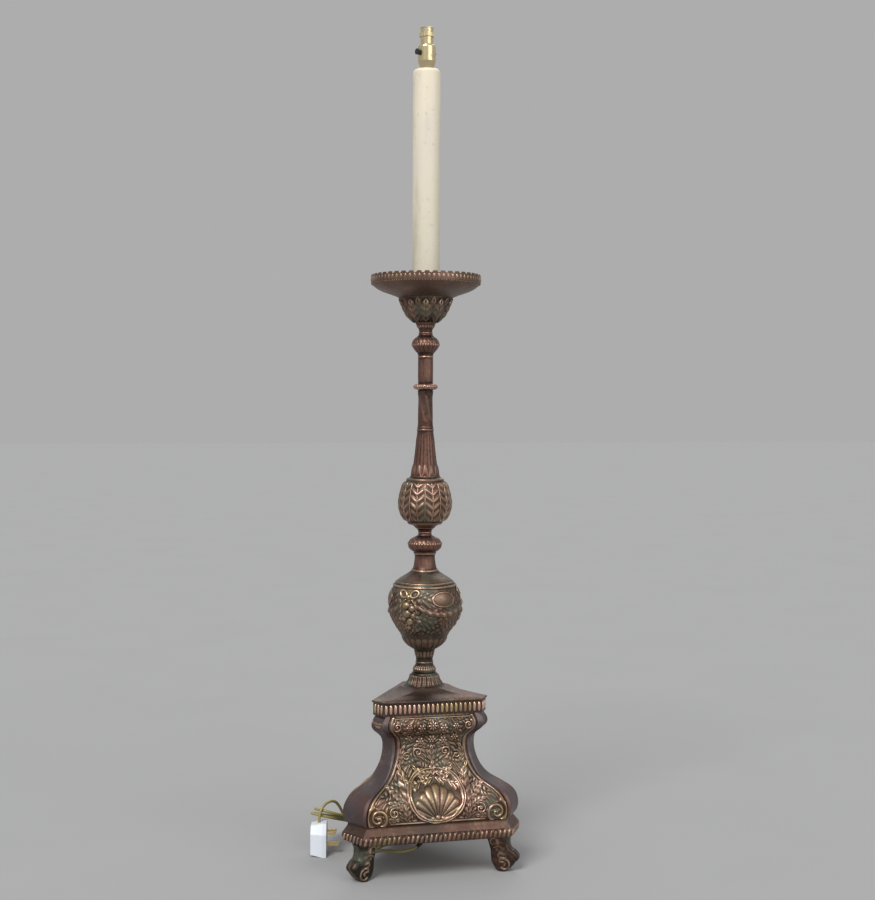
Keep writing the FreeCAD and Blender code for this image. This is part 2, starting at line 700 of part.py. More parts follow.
def pan_crown():
    """The pierced gallery round the pan: a band with a notched edge."""
    band = ring(PAN_RADIUS, PAN_RADIUS - CROWN_WALL, Z_CROWN, CROWN_HEIGHT)
    cutters = []
    for index in range(CROWN_NOTCHES // 2):
        out = polar(1.0, 360.0 * index / CROWN_NOTCHES)
        start = out * (-PAN_RADIUS - 1.0) + Vec(0, 0, Z_CROWN + CROWN_HEIGHT)
        cutters.append(Part.makeCylinder(NOTCH_RADIUS, 2.0 * PAN_RADIUS + 2.0, start, out))
    return band.cut(cutters)


def sleeve_seat():
    return ring(CANDLE_RADIUS - CANDLE_WALL - SEAT_FIT, BORE, Z_PAN_FLOOR, SEAT_HEIGHT)


def candle_sleeve():
    """A card candle tube with a rounded shoulder, closed but for the stem's hole."""
    base, top = Z_PAN_FLOOR, Z_CANDLE_TOP
    shoulder = top - CANDLE_SHOULDER
    flat = CANDLE_RADIUS - CANDLE_SHOULDER
    inner = CANDLE_RADIUS - CANDLE_WALL
    bend = math.sqrt(0.5)
    outer_mid = (flat + CANDLE_SHOULDER * bend, 0, shoulder + CANDLE_SHOULDER * bend)
    reach = CANDLE_SHOULDER - CANDLE_WALL
    inner_mid = (flat + reach * bend, 0, shoulder + reach * bend)
    return revolve([
        line((CANDLE_RADIUS, 0, base), (CANDLE_RADIUS, 0, shoulder)),
        arc((CANDLE_RADIUS, 0, shoulder), outer_mid, (flat, 0, top)),
        line((flat, 0, top), (BORE, 0, top)),
        line((BORE, 0, top), (BORE, 0, top - CANDLE_WALL)),
        line((BORE, 0, top - CANDLE_WALL), (flat, 0, top - CANDLE_WALL)),
        arc((flat, 0, top - CANDLE_WALL), inner_mid, (inner, 0, shoulder)),
        line((inner, 0, shoulder), (inner, 0, base)),
        line((inner, 0, base), (CANDLE_RADIUS, 0, base)),
    ])


def stem_tube():
    return ring(ROD_RADIUS, ROD_BORE, Z_TUBE, Z_CAP_FLOOR - Z_TUBE)


def base_nut():
    corner = NUT_FLATS / math.sqrt(3.0)
    points = [polar(corner, 60.0 * i, Z_NUT) for i in range(6)]
    nut = Part.Face(Part.makePolygon(points + [points[0]])).extrude(Vec(0, 0, NUT_HEIGHT))
    return with_bore(nut, Z_NUT, NUT_HEIGHT)


# --- lampholder ----------------------------------------------------------------------------------------
def holder_cap():
    """The tapered cap that screws on the stem tube and carries the switch block."""
    floor = Z_CAP_FLOOR
    inner = BODY_RADIUS - BODY_WALL
    return revolve([
        line((CAP_FOOT, 0, Z_CAP), (BODY_RADIUS, 0, Z_BODY)),
        line((BODY_RADIUS, 0, Z_BODY), (inner, 0, Z_BODY)),
        line((inner, 0, Z_BODY), (CAP_FOOT - BODY_WALL, 0, floor)),
        line((CAP_FOOT - BODY_WALL, 0, floor), (BORE, 0, floor)),
        line((BORE, 0, floor), (BORE, 0, Z_CAP)),
        line((BORE, 0, Z_CAP), (CAP_FOOT, 0, Z_CAP)),
    ])


def bar_cylinder(radius, start, length):
    """A cylinder on the press bar's axis, from a distance along it."""
    way = polar(1.0, SWITCH_AXIS_ANGLE)
    return Part.makeCylinder(radius, length, way * start + Vec(0, 0, Z_BODY + BAR_HEIGHT), way)


def holder_body():
    inner = BODY_RADIUS - BODY_WALL
    shell = ring(BODY_RADIUS, inner, Z_BODY, BODY_HEIGHT)
    hole = bar_cylinder(BUTTON_RADIUS + RUNNING_FIT, -2.0 * BODY_RADIUS, 4.0 * BODY_RADIUS)
    return shell.cut(hole)


def switch_bar():
    """The press bar: pushed in at one end, it stands out at the other."""
    out_end = -(BODY_RADIUS + BUTTON_PROUD + SWITCH_TRAVEL)
    in_end = BODY_RADIUS + BUTTON_PROUD
    left = bar_cylinder(BUTTON_RADIUS, out_end, BUTTON_LENGTH)
    right = bar_cylinder(BUTTON_RADIUS, in_end - BUTTON_LENGTH, BUTTON_LENGTH)
    bar = bar_cylinder(BAR_RADIUS, out_end + 1.0, in_end - out_end - 2.0)
    return bar.fuse([left, right])


def switch_block():
    side = 2.0 * BLOCK_HALF
    height = Z_INSERT - Z_CAP_FLOOR
    block = Part.makeBox(side, side, height, Vec(-BLOCK_HALF, -BLOCK_HALF, Z_CAP_FLOOR))
    block = spun(block, SWITCH_AXIS_ANGLE)
    return block.cut(bar_cylinder(BAR_RADIUS + RUNNING_FIT, -2.0 * BLOCK_HALF, 4.0 * BLOCK_HALF))


def holder_barrel():
    """The bayonet barrel with its shoulder, its rim and two hooked slots."""
    skirt = BODY_RADIUS - BODY_WALL
    throat = SOCKET_RADIUS - INNER_STEP
    mouth = Z_RIM - MOUTH_LENGTH
    shoulder = Z_BARREL + SHOULDER_HEIGHT
    lip = BARREL_RADIUS + BARREL_LIP
    barrel = revolve([
        arc((BODY_RADIUS, 0, Z_BARREL), (BODY_RADIUS - 1.2, 0, shoulder - 2.5), (BARREL_RADIUS, 0, shoulder)),
        line((BARREL_RADIUS, 0, shoulder), (BARREL_RADIUS, 0, Z_RIM - BARREL_LIP * 2.2)),
        line((BARREL_RADIUS, 0, Z_RIM - BARREL_LIP * 2.2), (lip, 0, Z_RIM - BARREL_LIP * 1.6)),
        line((lip, 0, Z_RIM - BARREL_LIP * 1.6), (lip, 0, Z_RIM - BARREL_LIP * 0.6)),
        line((lip, 0, Z_RIM - BARREL_LIP * 0.6), (lip - BARREL_LIP * 0.6, 0, Z_RIM)),
        line((lip - BARREL_LIP * 0.6, 0, Z_RIM), (SOCKET_RADIUS, 0, Z_RIM)),
        line((SOCKET_RADIUS, 0, Z_RIM), (SOCKET_RADIUS, 0, mouth)),
        line((SOCKET_RADIUS, 0, mouth), (throat, 0, mouth)),
        line((throat, 0, mouth), (throat, 0, shoulder - 1.5)),
        line((throat, 0, shoulder - 1.5), (skirt, 0, Z_BARREL)),
        line((skirt, 0, Z_BARREL), (BODY_RADIUS, 0, Z_BARREL)),
    ])
    return barrel.cut(bayonet_slots())


def bayonet_slots():
    cutters = []
    reach = BARREL_RADIUS + BARREL_LIP + 1.0
    for turn in (0.0, 180.0):
        down = Part.makeBox(reach, SLOT_WIDTH, SLOT_DEPTH, Vec(0, -SLOT_WIDTH / 2.0, Z_RIM - SLOT_DEPTH))
        hook = Part.makeBox(reach, SLOT_HOOK, SLOT_WIDTH, Vec(0, -SLOT_WIDTH / 2.0, Z_RIM - SLOT_DEPTH))
        cutters.append(spun(down.fuse(hook), SLOT_ANGLE + turn))
    return cutters


def shade_ring():
    """The turning ring that clamps a shade's gallery, with a grooved edge for the fingers."""
    z = Z_RIM - RING_DROP - RING_HEIGHT
    band = ring(RING_RADIUS, BARREL_RADIUS + RUNNING_FIT, z, RING_HEIGHT)
    grooves = []
    for index in range(RING_GROOVES):
        place = polar(RING_RADIUS + RING_GROOVE * 0.5, 360.0 * index / RING_GROOVES, z)
        grooves.append(Part.makeCylinder(RING_GROOVE, RING_HEIGHT, place))
    return band.cut(grooves)


def plunger_places():
    return [polar(PLUNGER_SPREAD, SLOT_ANGLE + side) for side in (90.0, -90.0)]


def holder_insert():
    """The moulded insert with a stepped well for each contact plunger."""
    body = ring(SOCKET_RADIUS - INNER_STEP - 0.1, 0.0, Z_INSERT, INSERT_HEIGHT)
    well_floor = Z_INSERT_TOP - WELL_ROOF - PLUNGER_WELL
    for place in plunger_places():
        well = Part.makeCylinder(PLUNGER_SHOULDER + RUNNING_FIT, PLUNGER_WELL, place + Vec(0, 0, well_floor))
        up = place + Vec(0, 0, well_floor + 1.0)
        hole = Part.makeCylinder(PLUNGER_RADIUS + RUNNING_FIT, INSERT_HEIGHT, up)
        body = body.cut(well.fuse(hole))
    return body


def contact_plunger(place):
    """A brass contact: its tip stands out of the insert and its shoulder rides in the well."""
    shoulder_top = Z_INSERT_TOP - WELL_ROOF - RUNNING_FIT
    low = shoulder_top - PLUNGER_SHOULDER_HEIGHT
    shoulder = Part.makeCylinder(PLUNGER_SHOULDER, PLUNGER_SHOULDER_HEIGHT, place + Vec(0, 0, low))
    tip_length = Z_INSERT_TOP + PLUNGER_PROUD - low
    tip = Part.makeCylinder(PLUNGER_RADIUS, tip_length, place + Vec(0, 0, low))
    return shoulder.fuse(tip)


def plunger_spring(place):
    """The space of the contact spring, from the well's floor to the plunger's shoulder."""
    floor = Z_INSERT_TOP - WELL_ROOF - PLUNGER_WELL
    top = Z_INSERT_TOP - WELL_ROOF - RUNNING_FIT - PLUNGER_SHOULDER_HEIGHT
    outer = Part.makeCylinder(PLUNGER_SHOULDER - 0.1, top - floor, place + Vec(0, 0, floor))
    return outer.cut(Part.makeCylinder(PLUNGER_RADIUS - 0.2, top - floor, place + Vec(0, 0, floor)))


# --- lead ------------------------------------------------------------------------------------------------
def hank_point(along, across, up=0.0):
    """A place in the hank, from its middle: along its runs, across them and up through it."""
    heading, slope = math.radians(HANK_HEADING), math.radians(HANK_SLOPE)
    flat, fall = math.cos(slope), math.sin(slope)
    run = Vec(math.cos(heading) * flat, math.sin(heading) * flat, -fall)
    side = Vec(math.sin(heading), -math.cos(heading), 0.0)
    rise = Vec(math.cos(heading) * fall, math.sin(heading) * fall, flat)
    return HANK_MID + run * along + side * across + rise * up


def fold(end, centre, start, finish, up):
    """A half turn round one end of the hank; end is +1 for the low end and -1 for the high one."""
    radius = abs(start - finish) / 2.0
    half = HANK_RUN / 2.0
    return Part.Arc(hank_point(end * half, start, up),
                    hank_point(end * (half + radius), centre, up),
                    hank_point(end * half, finish, up)).toShape()


def hank_path():
    """Turns that spiral out in the top layer, drop to the bottom layer and spiral in again."""
    half = HANK_RUN / 2.0
    top, low = TURN_PITCH / 2.0, -TURN_PITCH / 2.0
    side = INNER_FOLD
    edges = [Part.makeLine(hank_point(LEAD_JOIN, side, top), hank_point(half, side, top))]
    for _ in range(LOOPS_PER_LAYER):
        edges.append(fold(1, 0.0, side, -side, top))
        edges.append(Part.makeLine(hank_point(half, -side, top), hank_point(-half, -side, top)))
        wider = side + TURN_PITCH
        edges.append(fold(-1, TURN_PITCH / 2.0, -side, wider, top))
        edges.append(Part.makeLine(hank_point(-half, wider, top), hank_point(half, wider, top)))
        side = wider
    edges.append(fold(1, 0.0, side, -side, top))
    quarter = HANK_RUN / 4.0
    sag = TURN_PITCH / 8.0
    edges.append(Part.Arc(hank_point(half, -side, top), hank_point(quarter, -side, top - sag),
                          hank_point(0.0, -side, 0.0)).toShape())
    edges.append(Part.Arc(hank_point(0.0, -side, 0.0), hank_point(-quarter, -side, low + sag),
                          hank_point(-half, -side, low)).toShape())
    for _ in range(LOOPS_PER_LAYER - 1):
        closer = side - TURN_PITCH
        edges.append(fold(-1, -TURN_PITCH / 2.0, -side, closer, low))
        edges.append(Part.makeLine(hank_point(-half, closer, low), hank_point(half, closer, low)))
        edges.append(fold(1, 0.0, closer, -closer, low))
        edges.append(Part.makeLine(hank_point(half, -closer, low), hank_point(-half, -closer, low)))
        side = closer
    closer = side - TURN_PITCH
    edges.append(fold(-1, -TURN_PITCH / 2.0, -side, closer, low))
    edges.append(Part.makeLine(hank_point(-half, closer, low), hank_point(TAIL_JOIN, closer, low)))
    return Part.Wire(edges)


def least_self_gap(wire, radius):
    """The least room between turns, measured on points along the wire."""
    step = 4.0
    points = wire.discretize(Distance=step)
    apart = int(8.0 * radius / step) + 2
    least = min((a - b).Length for i, a in enumerate(points) for b in points[i + apart:])
    return least - 2.0 * radius


def cord_hank():
    path = hank_path()
    print(f"hank: length {path.Length:.0f}, least self gap {least_self_gap(path, FLEX_RADIUS):.2f}")
    return tube(path, FLEX_RADIUS, "hank")


def cord_tail():
    return tube(rounded_route(TAIL_ROUTE, "tail"), FLEX_RADIUS, "tail")


def plug_lead():
    return tube(rounded_route(PLUG_ROUTE, "plug lead"), FLEX_RADIUS, "plug lead")


def inner_flex():
    """The stretch inside the stem, up to the switch block."""
    return ring(CORE_FLEX_RADIUS, 0.0, Z_GLAND, Z_CAP_FLOOR - Z_GLAND)


def cord_gland():
    return ring(GLAND_RADIUS, CORE_FLEX_RADIUS + 0.1, Z_GLAND, Z_TUBE - Z_GLAND)


def hank_tie():
    """A strap round the middle of the hank."""
    outermost = INNER_FOLD + LOOPS_PER_LAYER * TURN_PITCH + FLEX_RADIUS + TIE_FIT
    thick = TURN_PITCH / 2.0 + FLEX_RADIUS + TIE_FIT
    solids = []
    for wall in (TIE_WALL, 0.0):
        corners = []
        for across, up in ((1, 1), (1, -1), (-1, -1), (-1, 1)):
            start = TIE_PLACE - TIE_WIDTH / 2.0
            corners.append(hank_point(start, across * (outermost + wall), up * (thick + wall)))
        face = Part.Face(Part.makePolygon(corners + [corners[0]]))
        run = hank_point(TIE_WIDTH, 0.0) - hank_point(0.0, 0.0)
        solids.append(face.extrude(run))
    return solids[0].cut(solids[1])


# --- plug ------------------------------------------------------------------------------------------------
def placed_plug(solid):
    """From the plug's own frame, pins along +X and standing on Z = 0, to its place."""
    solid = spun(solid, PLUG_ANGLE)
    solid.translate(PLUG_MID)
    return solid


def plug_outline(x, inset, lift):
    half = PLUG_WIDTH / 2.0 - inset
    low, high = lift, PLUG_HEIGHT - inset
    nose = half * 0.62
    bend = PLUG_HEIGHT * 0.68
    points = [Vec(x, -half, low), Vec(x, half, low), Vec(x, half, bend), Vec(x, nose, high),
              Vec(x, -nose, high), Vec(x, -half, bend)]
    return Part.makePolygon(points + [points[0]])


def plug_base():
    """The half that carries the pins."""
    seam = PLUG_THICKNESS / 2.0 - PLUG_BASE
    base = Part.Face(plug_outline(seam, 0.0, 0.0)).extrude(Vec(PLUG_BASE, 0, 0))
    screw = Part.makeCylinder(PLUG_SCREW_RADIUS, PLUG_BASE, Vec(seam, 0, PLUG_SCREW_HEIGHT), Vec(1, 0, 0))
    return placed_plug(base.cut(screw))


def plug_cover():
    seam = PLUG_THICKNESS / 2.0 - PLUG_BASE
    back = -PLUG_THICKNESS / 2.0
    flank = plug_outline(back, PLUG_DRAFT, PLUG_LIFT)
    outer = Part.makeLoft([plug_outline(seam, 0.0, 0.0), flank], True, True)
    deep = plug_outline(back + PLUG_WALL, PLUG_DRAFT + PLUG_WALL, PLUG_LIFT + PLUG_WALL)
    inner = Part.makeLoft([plug_outline(seam, PLUG_WALL, PLUG_WALL), deep], True, True)
    inside = Vec(0, 0, PLUG_HEIGHT - PLUG_DRAFT * 2.0)
    entry = Part.makeCylinder(FLEX_RADIUS + ENTRY_FIT, PLUG_HEIGHT / 2.0, inside)
    return placed_plug(outer.cut([inner, entry]))


def plug_pins():
    """Three flat pins: a long earth pin and two shorter ones, 22.2 mm apart."""
    face = PLUG_THICKNESS / 2.0
    earth = Part.makeBox(EARTH_PIN_LENGTH, 4.0, 8.0, Vec(face, -2.0, EARTH_PIN_HEIGHT - 4.0))
    pins = [earth]
    for side in (-1, 1):
        middle = side * PIN_SPACING / 2.0
        low = EARTH_PIN_HEIGHT + PIN_SPACING - 2.0
        pins.append(Part.makeBox(LINE_PIN_LENGTH, 6.3, 4.0, Vec(face, middle - 3.15, low)))
    return placed_plug(Part.makeCompound(pins))


def plug_fuse():
    seam = PLUG_THICKNESS / 2.0 - PLUG_BASE
    place = Vec(seam - FUSE_RADIUS, -FUSE_OFFSET, EARTH_PIN_HEIGHT)
    return placed_plug(Part.makeCylinder(FUSE_RADIUS, FUSE_LENGTH, place))


def plug_screw():
    length = PLUG_THICKNESS - PLUG_WALL
    start = Vec(PLUG_WALL - PLUG_THICKNESS / 2.0, 0, PLUG_SCREW_HEIGHT)
    return placed_plug(Part.makeCylinder(PLUG_SCREW_RADIUS, length, start, Vec(1, 0, 0)))


def pieces():
    """Every sub-part by the name of its node."""
    core = plinth_body(SHEET)
    made = {
        "panel_front": panel(core, 0.0),
        "panel_right": panel(core, 120.0),
        "panel_left": panel(core, 240.0),
        "plinth_core": with_bore(core, Z_PLINTH, PLINTH_HEIGHT),
        "base_board": base_board(),
        "base_moulding": base_moulding(),
        "foot_studs": foot_studs(),
        "cornice_block": cornice_block(),
        "fluted_frieze": fluted_frieze(),
        "cornice_lip": cornice_lip(),
        "plinth_roof": plinth_roof(),
        "leaf_collar": leaf_collar(),
        "vase_foot": vase_foot(),
        "vase_body": vase_body(),
        "vase_neck": vase_neck(),
        "lower_knop": lower_knop(),
        "bulb_spool": bulb_spool(),
        "leaf_bulb": leaf_bulb(),
        "tapered_stem": tapered_stem(),
        "ring_knop": ring_knop(),
        "upper_column": upper_column(),
        "upper_knop": upper_knop(),
        "cup_neck": cup_neck(),
        "calyx_cup": calyx_cup(),
        "drip_pan": drip_pan(),
        "pan_crown": pan_crown(),
        "sleeve_seat": sleeve_seat(),
        "candle_sleeve": candle_sleeve(),
        "sleeve_collar": ring(COLLAR_RING_RADIUS, BORE, Z_CANDLE_TOP, COLLAR_RING_HEIGHT),
        "stem_tube": stem_tube(),
        "base_washer": ring(WASHER_RADIUS, BORE, Z_NUT + NUT_HEIGHT, WASHER_HEIGHT),
        "base_nut": base_nut(),
        "holder_cap": holder_cap(),
        "holder_body": holder_body(),
        "switch_bar": switch_bar(),
        "switch_block": switch_block(),
        "holder_barrel": holder_barrel(),
        "shade_ring": shade_ring(),
        "holder_insert": holder_insert(),
        "inner_flex": inner_flex(),
        "cord_gland": cord_gland(),
        "cord_tail": cord_tail(),
        "cord_hank": cord_hank(),
        "hank_tie": hank_tie(),
        "plug_lead": plug_lead(),
        "plug_base": plug_base(),
        "plug_cover": plug_cover(),
        "plug_pins": plug_pins(),
        "plug_fuse": plug_fuse(),
        "plug_screw": plug_screw(),
    }
    for name, turn in zip(("left", "right", "back"), CORNERS):
        made[f"corner_strap_{name}"] = corner_strap(core, turn)
        made[f"foot_{name}"] = foot(turn)
    for name, place in zip(("left", "right"), plunger_places()):
        made[f"contact_plunger_{name}"] = contact_plunger(place)
        made[f"plunger_spring_{name}"] = plunger_spring(place)
    return made


os.makedirs("parts", exist_ok=True)
for node, shape in pieces().items():
    shape.exportStep(f"parts/{node}.step")
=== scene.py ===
"""Dresses the candlestick floor lamp: chased plinth and stem, painted candle, holder, flex."""

import logging
import math
from dataclasses import dataclass
from enum import Enum
from typing import Callable

import bpy
import numpy as np
from mathutils import Matrix, Vector
from mathutils.bvhtree import BVHTree


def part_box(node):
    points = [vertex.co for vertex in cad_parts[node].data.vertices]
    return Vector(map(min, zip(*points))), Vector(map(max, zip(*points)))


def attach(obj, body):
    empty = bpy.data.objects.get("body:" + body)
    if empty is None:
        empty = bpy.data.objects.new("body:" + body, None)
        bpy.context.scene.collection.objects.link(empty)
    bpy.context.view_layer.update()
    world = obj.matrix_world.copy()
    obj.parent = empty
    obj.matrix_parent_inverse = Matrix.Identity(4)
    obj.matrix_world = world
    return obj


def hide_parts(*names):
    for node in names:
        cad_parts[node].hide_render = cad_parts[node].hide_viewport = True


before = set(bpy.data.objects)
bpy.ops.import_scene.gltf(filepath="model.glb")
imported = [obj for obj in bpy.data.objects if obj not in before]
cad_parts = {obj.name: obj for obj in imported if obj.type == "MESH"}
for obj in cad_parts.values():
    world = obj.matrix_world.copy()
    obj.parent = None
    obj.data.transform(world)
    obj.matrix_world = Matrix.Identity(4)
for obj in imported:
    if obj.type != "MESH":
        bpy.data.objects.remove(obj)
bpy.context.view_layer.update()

LOG = logging.getLogger("candlestick")
MM = 0.001
STAND = "stand"
FRONT = math.radians(-103.5)  # the way from the stem to the camera
TURN = 2.0 * math.pi

Array = np.ndarray
Relief = Callable[[Array, Array], Array]
Spot = tuple[float, float]
Point = tuple[float, float, float]
Tone = tuple[float, float, float]
Faces = list[tuple[int, ...]]
Places = list[tuple[Point, float]]


# --- small tools ---------------------------------------------------------------------------------
class NodeSheet:
    """Adds nodes to a node tree and joins them by name."""

    def __init__(self, tree: bpy.types.NodeTree) -> None:
        """Start on a tree.

        Args:
            tree: the shader or geometry tree that gets the nodes.
        """
        self.tree = tree

    def add(self, kind: str, settings: dict | None = None, **inputs: object) -> bpy.types.Node:
        """Add one node.

        Args:
            kind: the node's type name, such as ShaderNodeTexNoise.
            settings: properties of the node itself.
            inputs: socket names, with underscores for spaces, and a value or a socket for each.

        Returns:
            The new node.
        """
        node = self.tree.nodes.new(kind)
        for name, value in (settings or {}).items():
            setattr(node, name, value)
        for name, value in inputs.items():
            self.feed(node.inputs[name.replace("_", " ")], value)
        return node

    def feed(self, socket: bpy.types.NodeSocket, value: object) -> None:
        """Link a socket to the input, or set it to a value.

        Args:
            socket: the input to fill.
            value: a socket to link, or a plain value.
        """
        if isinstance(value, bpy.types.NodeSocket):
            self.tree.links.new(value, socket)
        else:
            socket.default_value = value

    def math(self, operation: str, first: object, second: object = 0.0) -> bpy.types.NodeSocket:
        """A Math node's result.

        Args:
            operation: the node's operation.
            first: the first input, a socket or a number.
            second: the second input.

        Returns:
            The socket with the result.
        """
        node = self.tree.nodes.new("ShaderNodeMath")
        node.operation = operation
        self.feed(node.inputs[0], first)
        self.feed(node.inputs[1], second)
        return node.outputs[0]

    def mix(self, share: object, low: object, high: object) -> bpy.types.NodeSocket:
        """A colour mixed from two, by share.

        Args:
            share: how much of the second colour shows, from 0 to 1.
            low: the colour at a share of 0.
            high: the colour at a share of 1.

        Returns:
            The socket with the result.
        """
        node = self.tree.nodes.new("ShaderNodeMix")
        node.data_type = "RGBA"
        self.feed(node.inputs["Factor"], share)
        colours = [s for s in node.inputs if s.type == "RGBA"]
        self.feed(colours[0], low)
        self.feed(colours[1], high)
        return [s for s in node.outputs if s.type == "RGBA"][0]

    def ramp(self, value: object, low: float, high: float) -> bpy.types.NodeSocket:
        """A value stretched so that low becomes 0 and high becomes 1.

        Args:
            value: the value to stretch.
            low: what becomes 0.
            high: what becomes 1.

        Returns:
            The socket with the result.
        """
        node = self.tree.nodes.new("ShaderNodeMapRange")
        node.interpolation_type = "SMOOTHSTEP"
        self.feed(node.inputs["Value"], value)
        node.inputs["From Min"].default_value = low
        node.inputs["From Max"].default_value = high
        return node.outputs["Result"]

    def scaled(self, value: object, factor: float, base: float) -> bpy.types.NodeSocket:
        """A value times a factor, plus a base."""
        return self.math("ADD", self.math("MULTIPLY", value, factor), base)

    def noise(self, scale: float, detail: float = 4.0,
              stretch: Point = (1.0, 1.0, 1.0)) -> bpy.types.NodeSocket:
        """Noise on Object coordinates, stretched along the axes.

        Args:
            scale: the noise's scale.
            detail: how fine it goes.
            stretch: a factor on each axis.

        Returns:
            The socket with the result.
        """
        place = self.tree.nodes.new("ShaderNodeTexCoord").outputs["Object"]
        mapping = self.add("ShaderNodeMapping", Vector=place, Scale=stretch)
        texture = self.add("ShaderNodeTexNoise", Vector=mapping.outputs[0], Scale=scale, Detail=detail)
        return texture.outputs["Fac"]


def colour(red: float, green: float, blue: float) -> tuple[float, float, float, float]:
    """A linear colour with full alpha."""
    return (red, green, blue, 1.0)


def new_group(name: str, kind: str, inputs: dict[str, str],
              outputs: dict[str, str]) -> tuple[NodeSheet, object, object]:
    """An empty node group with its sockets.

    Args:
        name: the group's name.
        kind: the tree's type name.
        inputs: the name of each input, with the kind of its socket.
        outputs: the name of each output, with the kind of its socket.

    Returns:
        The group's node sheet, the sockets that bring its inputs and those that take its outputs.
    """
    group = bpy.data.node_groups.new(name, kind)
    for side, sockets in (("INPUT", inputs), ("OUTPUT", outputs)):
        for label, value in sockets.items():
            group.interface.new_socket(label, in_out=side, socket_type=f"NodeSocket{value}")
    source = group.nodes.new("NodeGroupInput").outputs
    return NodeSheet(group), source, group.nodes.new("NodeGroupOutput").inputs


def mottle_group() -> bpy.types.NodeTree:
    """The shared node group of patina: recess, ground and worn colours over relief and blotches.

    Returns:
        The group, with four tones, Relief, Wear and Green as inputs and Color, Gloss, Metal and
        Height as outputs.
    """
    name = "patina_mottle"
    if name in bpy.data.node_groups:
        return bpy.data.node_groups[name]
    tones = dict.fromkeys(("Recess", "Ground", "Worn", "Gilt"), "Color")
    shares = dict.fromkeys(("Relief", "Wear", "Green"), "Float")
    masks = dict.fromkeys(("Gloss", "Metal", "Height"), "Float")
    sheet, source, sink = new_group(name, "ShaderNodeTree", tones | shares, {"Color": "Color"} | masks)
    blotch = sheet.noise(26.0, 5.0)
    fine = sheet.noise(190.0, 6.0)
    shift = sheet.math("MULTIPLY", sheet.math("SUBTRACT", blotch, 0.5), 0.55)
    grain = sheet.math("MULTIPLY", sheet.math("SUBTRACT", fine, 0.5), 0.35)
    level = sheet.math("ADD", sheet.math("ADD", source["Relief"], shift), grain)
    low = sheet.mix(sheet.ramp(level, 0.10, 0.45), source["Recess"], source["Ground"])
    gilding = sheet.ramp(sheet.noise(15.0, 4.0, (1.0, 1.0, 0.7)), 0.46, 0.60)
    bright = sheet.mix(gilding, source["Worn"], source["Gilt"])
    worn = sheet.math("MULTIPLY", sheet.ramp(level, 0.45, 0.92), source["Wear"])
    full = sheet.mix(worn, low, bright)
    tint = sheet.ramp(sheet.noise(12.0, 3.0, (1.0, 1.0, 0.6)), 0.46, 0.66)
    ruddy = sheet.mix(sheet.math("MULTIPLY", tint, 0.35), full, colour(0.18, 0.075, 0.055))
    deep = sheet.math("SUBTRACT", 1.0, sheet.ramp(level, 0.25, 0.55))
    verdigris = sheet.math("MULTIPLY", sheet.ramp(sheet.noise(34.0, 5.0), 0.47, 0.62), deep)
    green = sheet.math("MULTIPLY", verdigris, source["Green"])
    sheet.feed(sink["Color"], sheet.mix(green, ruddy, colour(0.085, 0.10, 0.07)))
    sheet.feed(sink["Gloss"], sheet.scaled(worn, -0.16, 0.44))
    sheet.feed(sink["Metal"], sheet.math("SUBTRACT", 0.92, sheet.math("MULTIPLY", green, 0.6)))
    sheet.feed(sink["Height"], sheet.math("ADD", fine, sheet.math("MULTIPLY", blotch, 0.6)))
    return sheet.tree


def grime_group() -> bpy.types.NodeTree:
    """The shared node group of dirt: a smudge mask that runs down the surface.

    Returns:
        The group, with the input Amount and the outputs Mask and Grain.
    """
    name = "hand_grime"
    if name in bpy.data.node_groups:
        return bpy.data.node_groups[name]
    sheet, source, sink = new_group(name, "ShaderNodeTree", {"Amount": "Float"},
                                    {"Mask": "Float", "Grain": "Float"})
    streak = sheet.ramp(sheet.noise(30.0, 6.0, (1.0, 1.0, 0.22)), 0.46, 0.74)
    spot = sheet.ramp(sheet.noise(85.0, 3.0), 0.58, 0.78)
    both = sheet.math("ADD", sheet.math("MULTIPLY", streak, 0.7), sheet.math("MULTIPLY", spot, 0.5))
    sheet.feed(sink["Mask"], sheet.math("MULTIPLY", both, source["Amount"]))
    sheet.feed(sink["Grain"], sheet.noise(700.0, 3.0))
    return sheet.tree


class MaterialSheet(NodeSheet):
    """The nodes of one material, round its Principled shader."""

    def __init__(self, name: str) -> None:
        """Start an empty node material.

        Args:
            name: the material's name.
        """
        self.material = bpy.data.materials.new(name)
        self.material.use_nodes = True
        self.material.node_tree.nodes.clear()
        super().__init__(self.material.node_tree)
        self.shader = self.add("ShaderNodeBsdfPrincipled")
        self.add("ShaderNodeOutputMaterial", Surface=self.shader.outputs[0])

    def group(self, tree: bpy.types.NodeTree, **inputs: object) -> object:
        """The outputs of a shared node group, fed with inputs."""
        return self.add("ShaderNodeGroup", {"node_tree": tree}, **inputs).outputs

    def surface(self, shade: object, rough: object, height: object, strength: float,
                depth: float) -> bpy.types.Material:
        """Join colour, roughness and bump to the shader.

        Args:
            shade: the socket with the base colour.
            rough: the socket with the roughness.
            height: the socket with the bump's height.
            strength: the bump's strength.
            depth: the bump's depth, in metres.

        Returns:
            The finished material.
        """
        self.feed(self.shader.inputs["Base Color"], shade)
        self.feed(self.shader.inputs["Roughness"], rough)
        bump = self.add("ShaderNodeBump", Strength=strength, Distance=depth, Height=height)
        self.feed(self.shader.inputs["Normal"], bump.outputs[0])
        return self.material


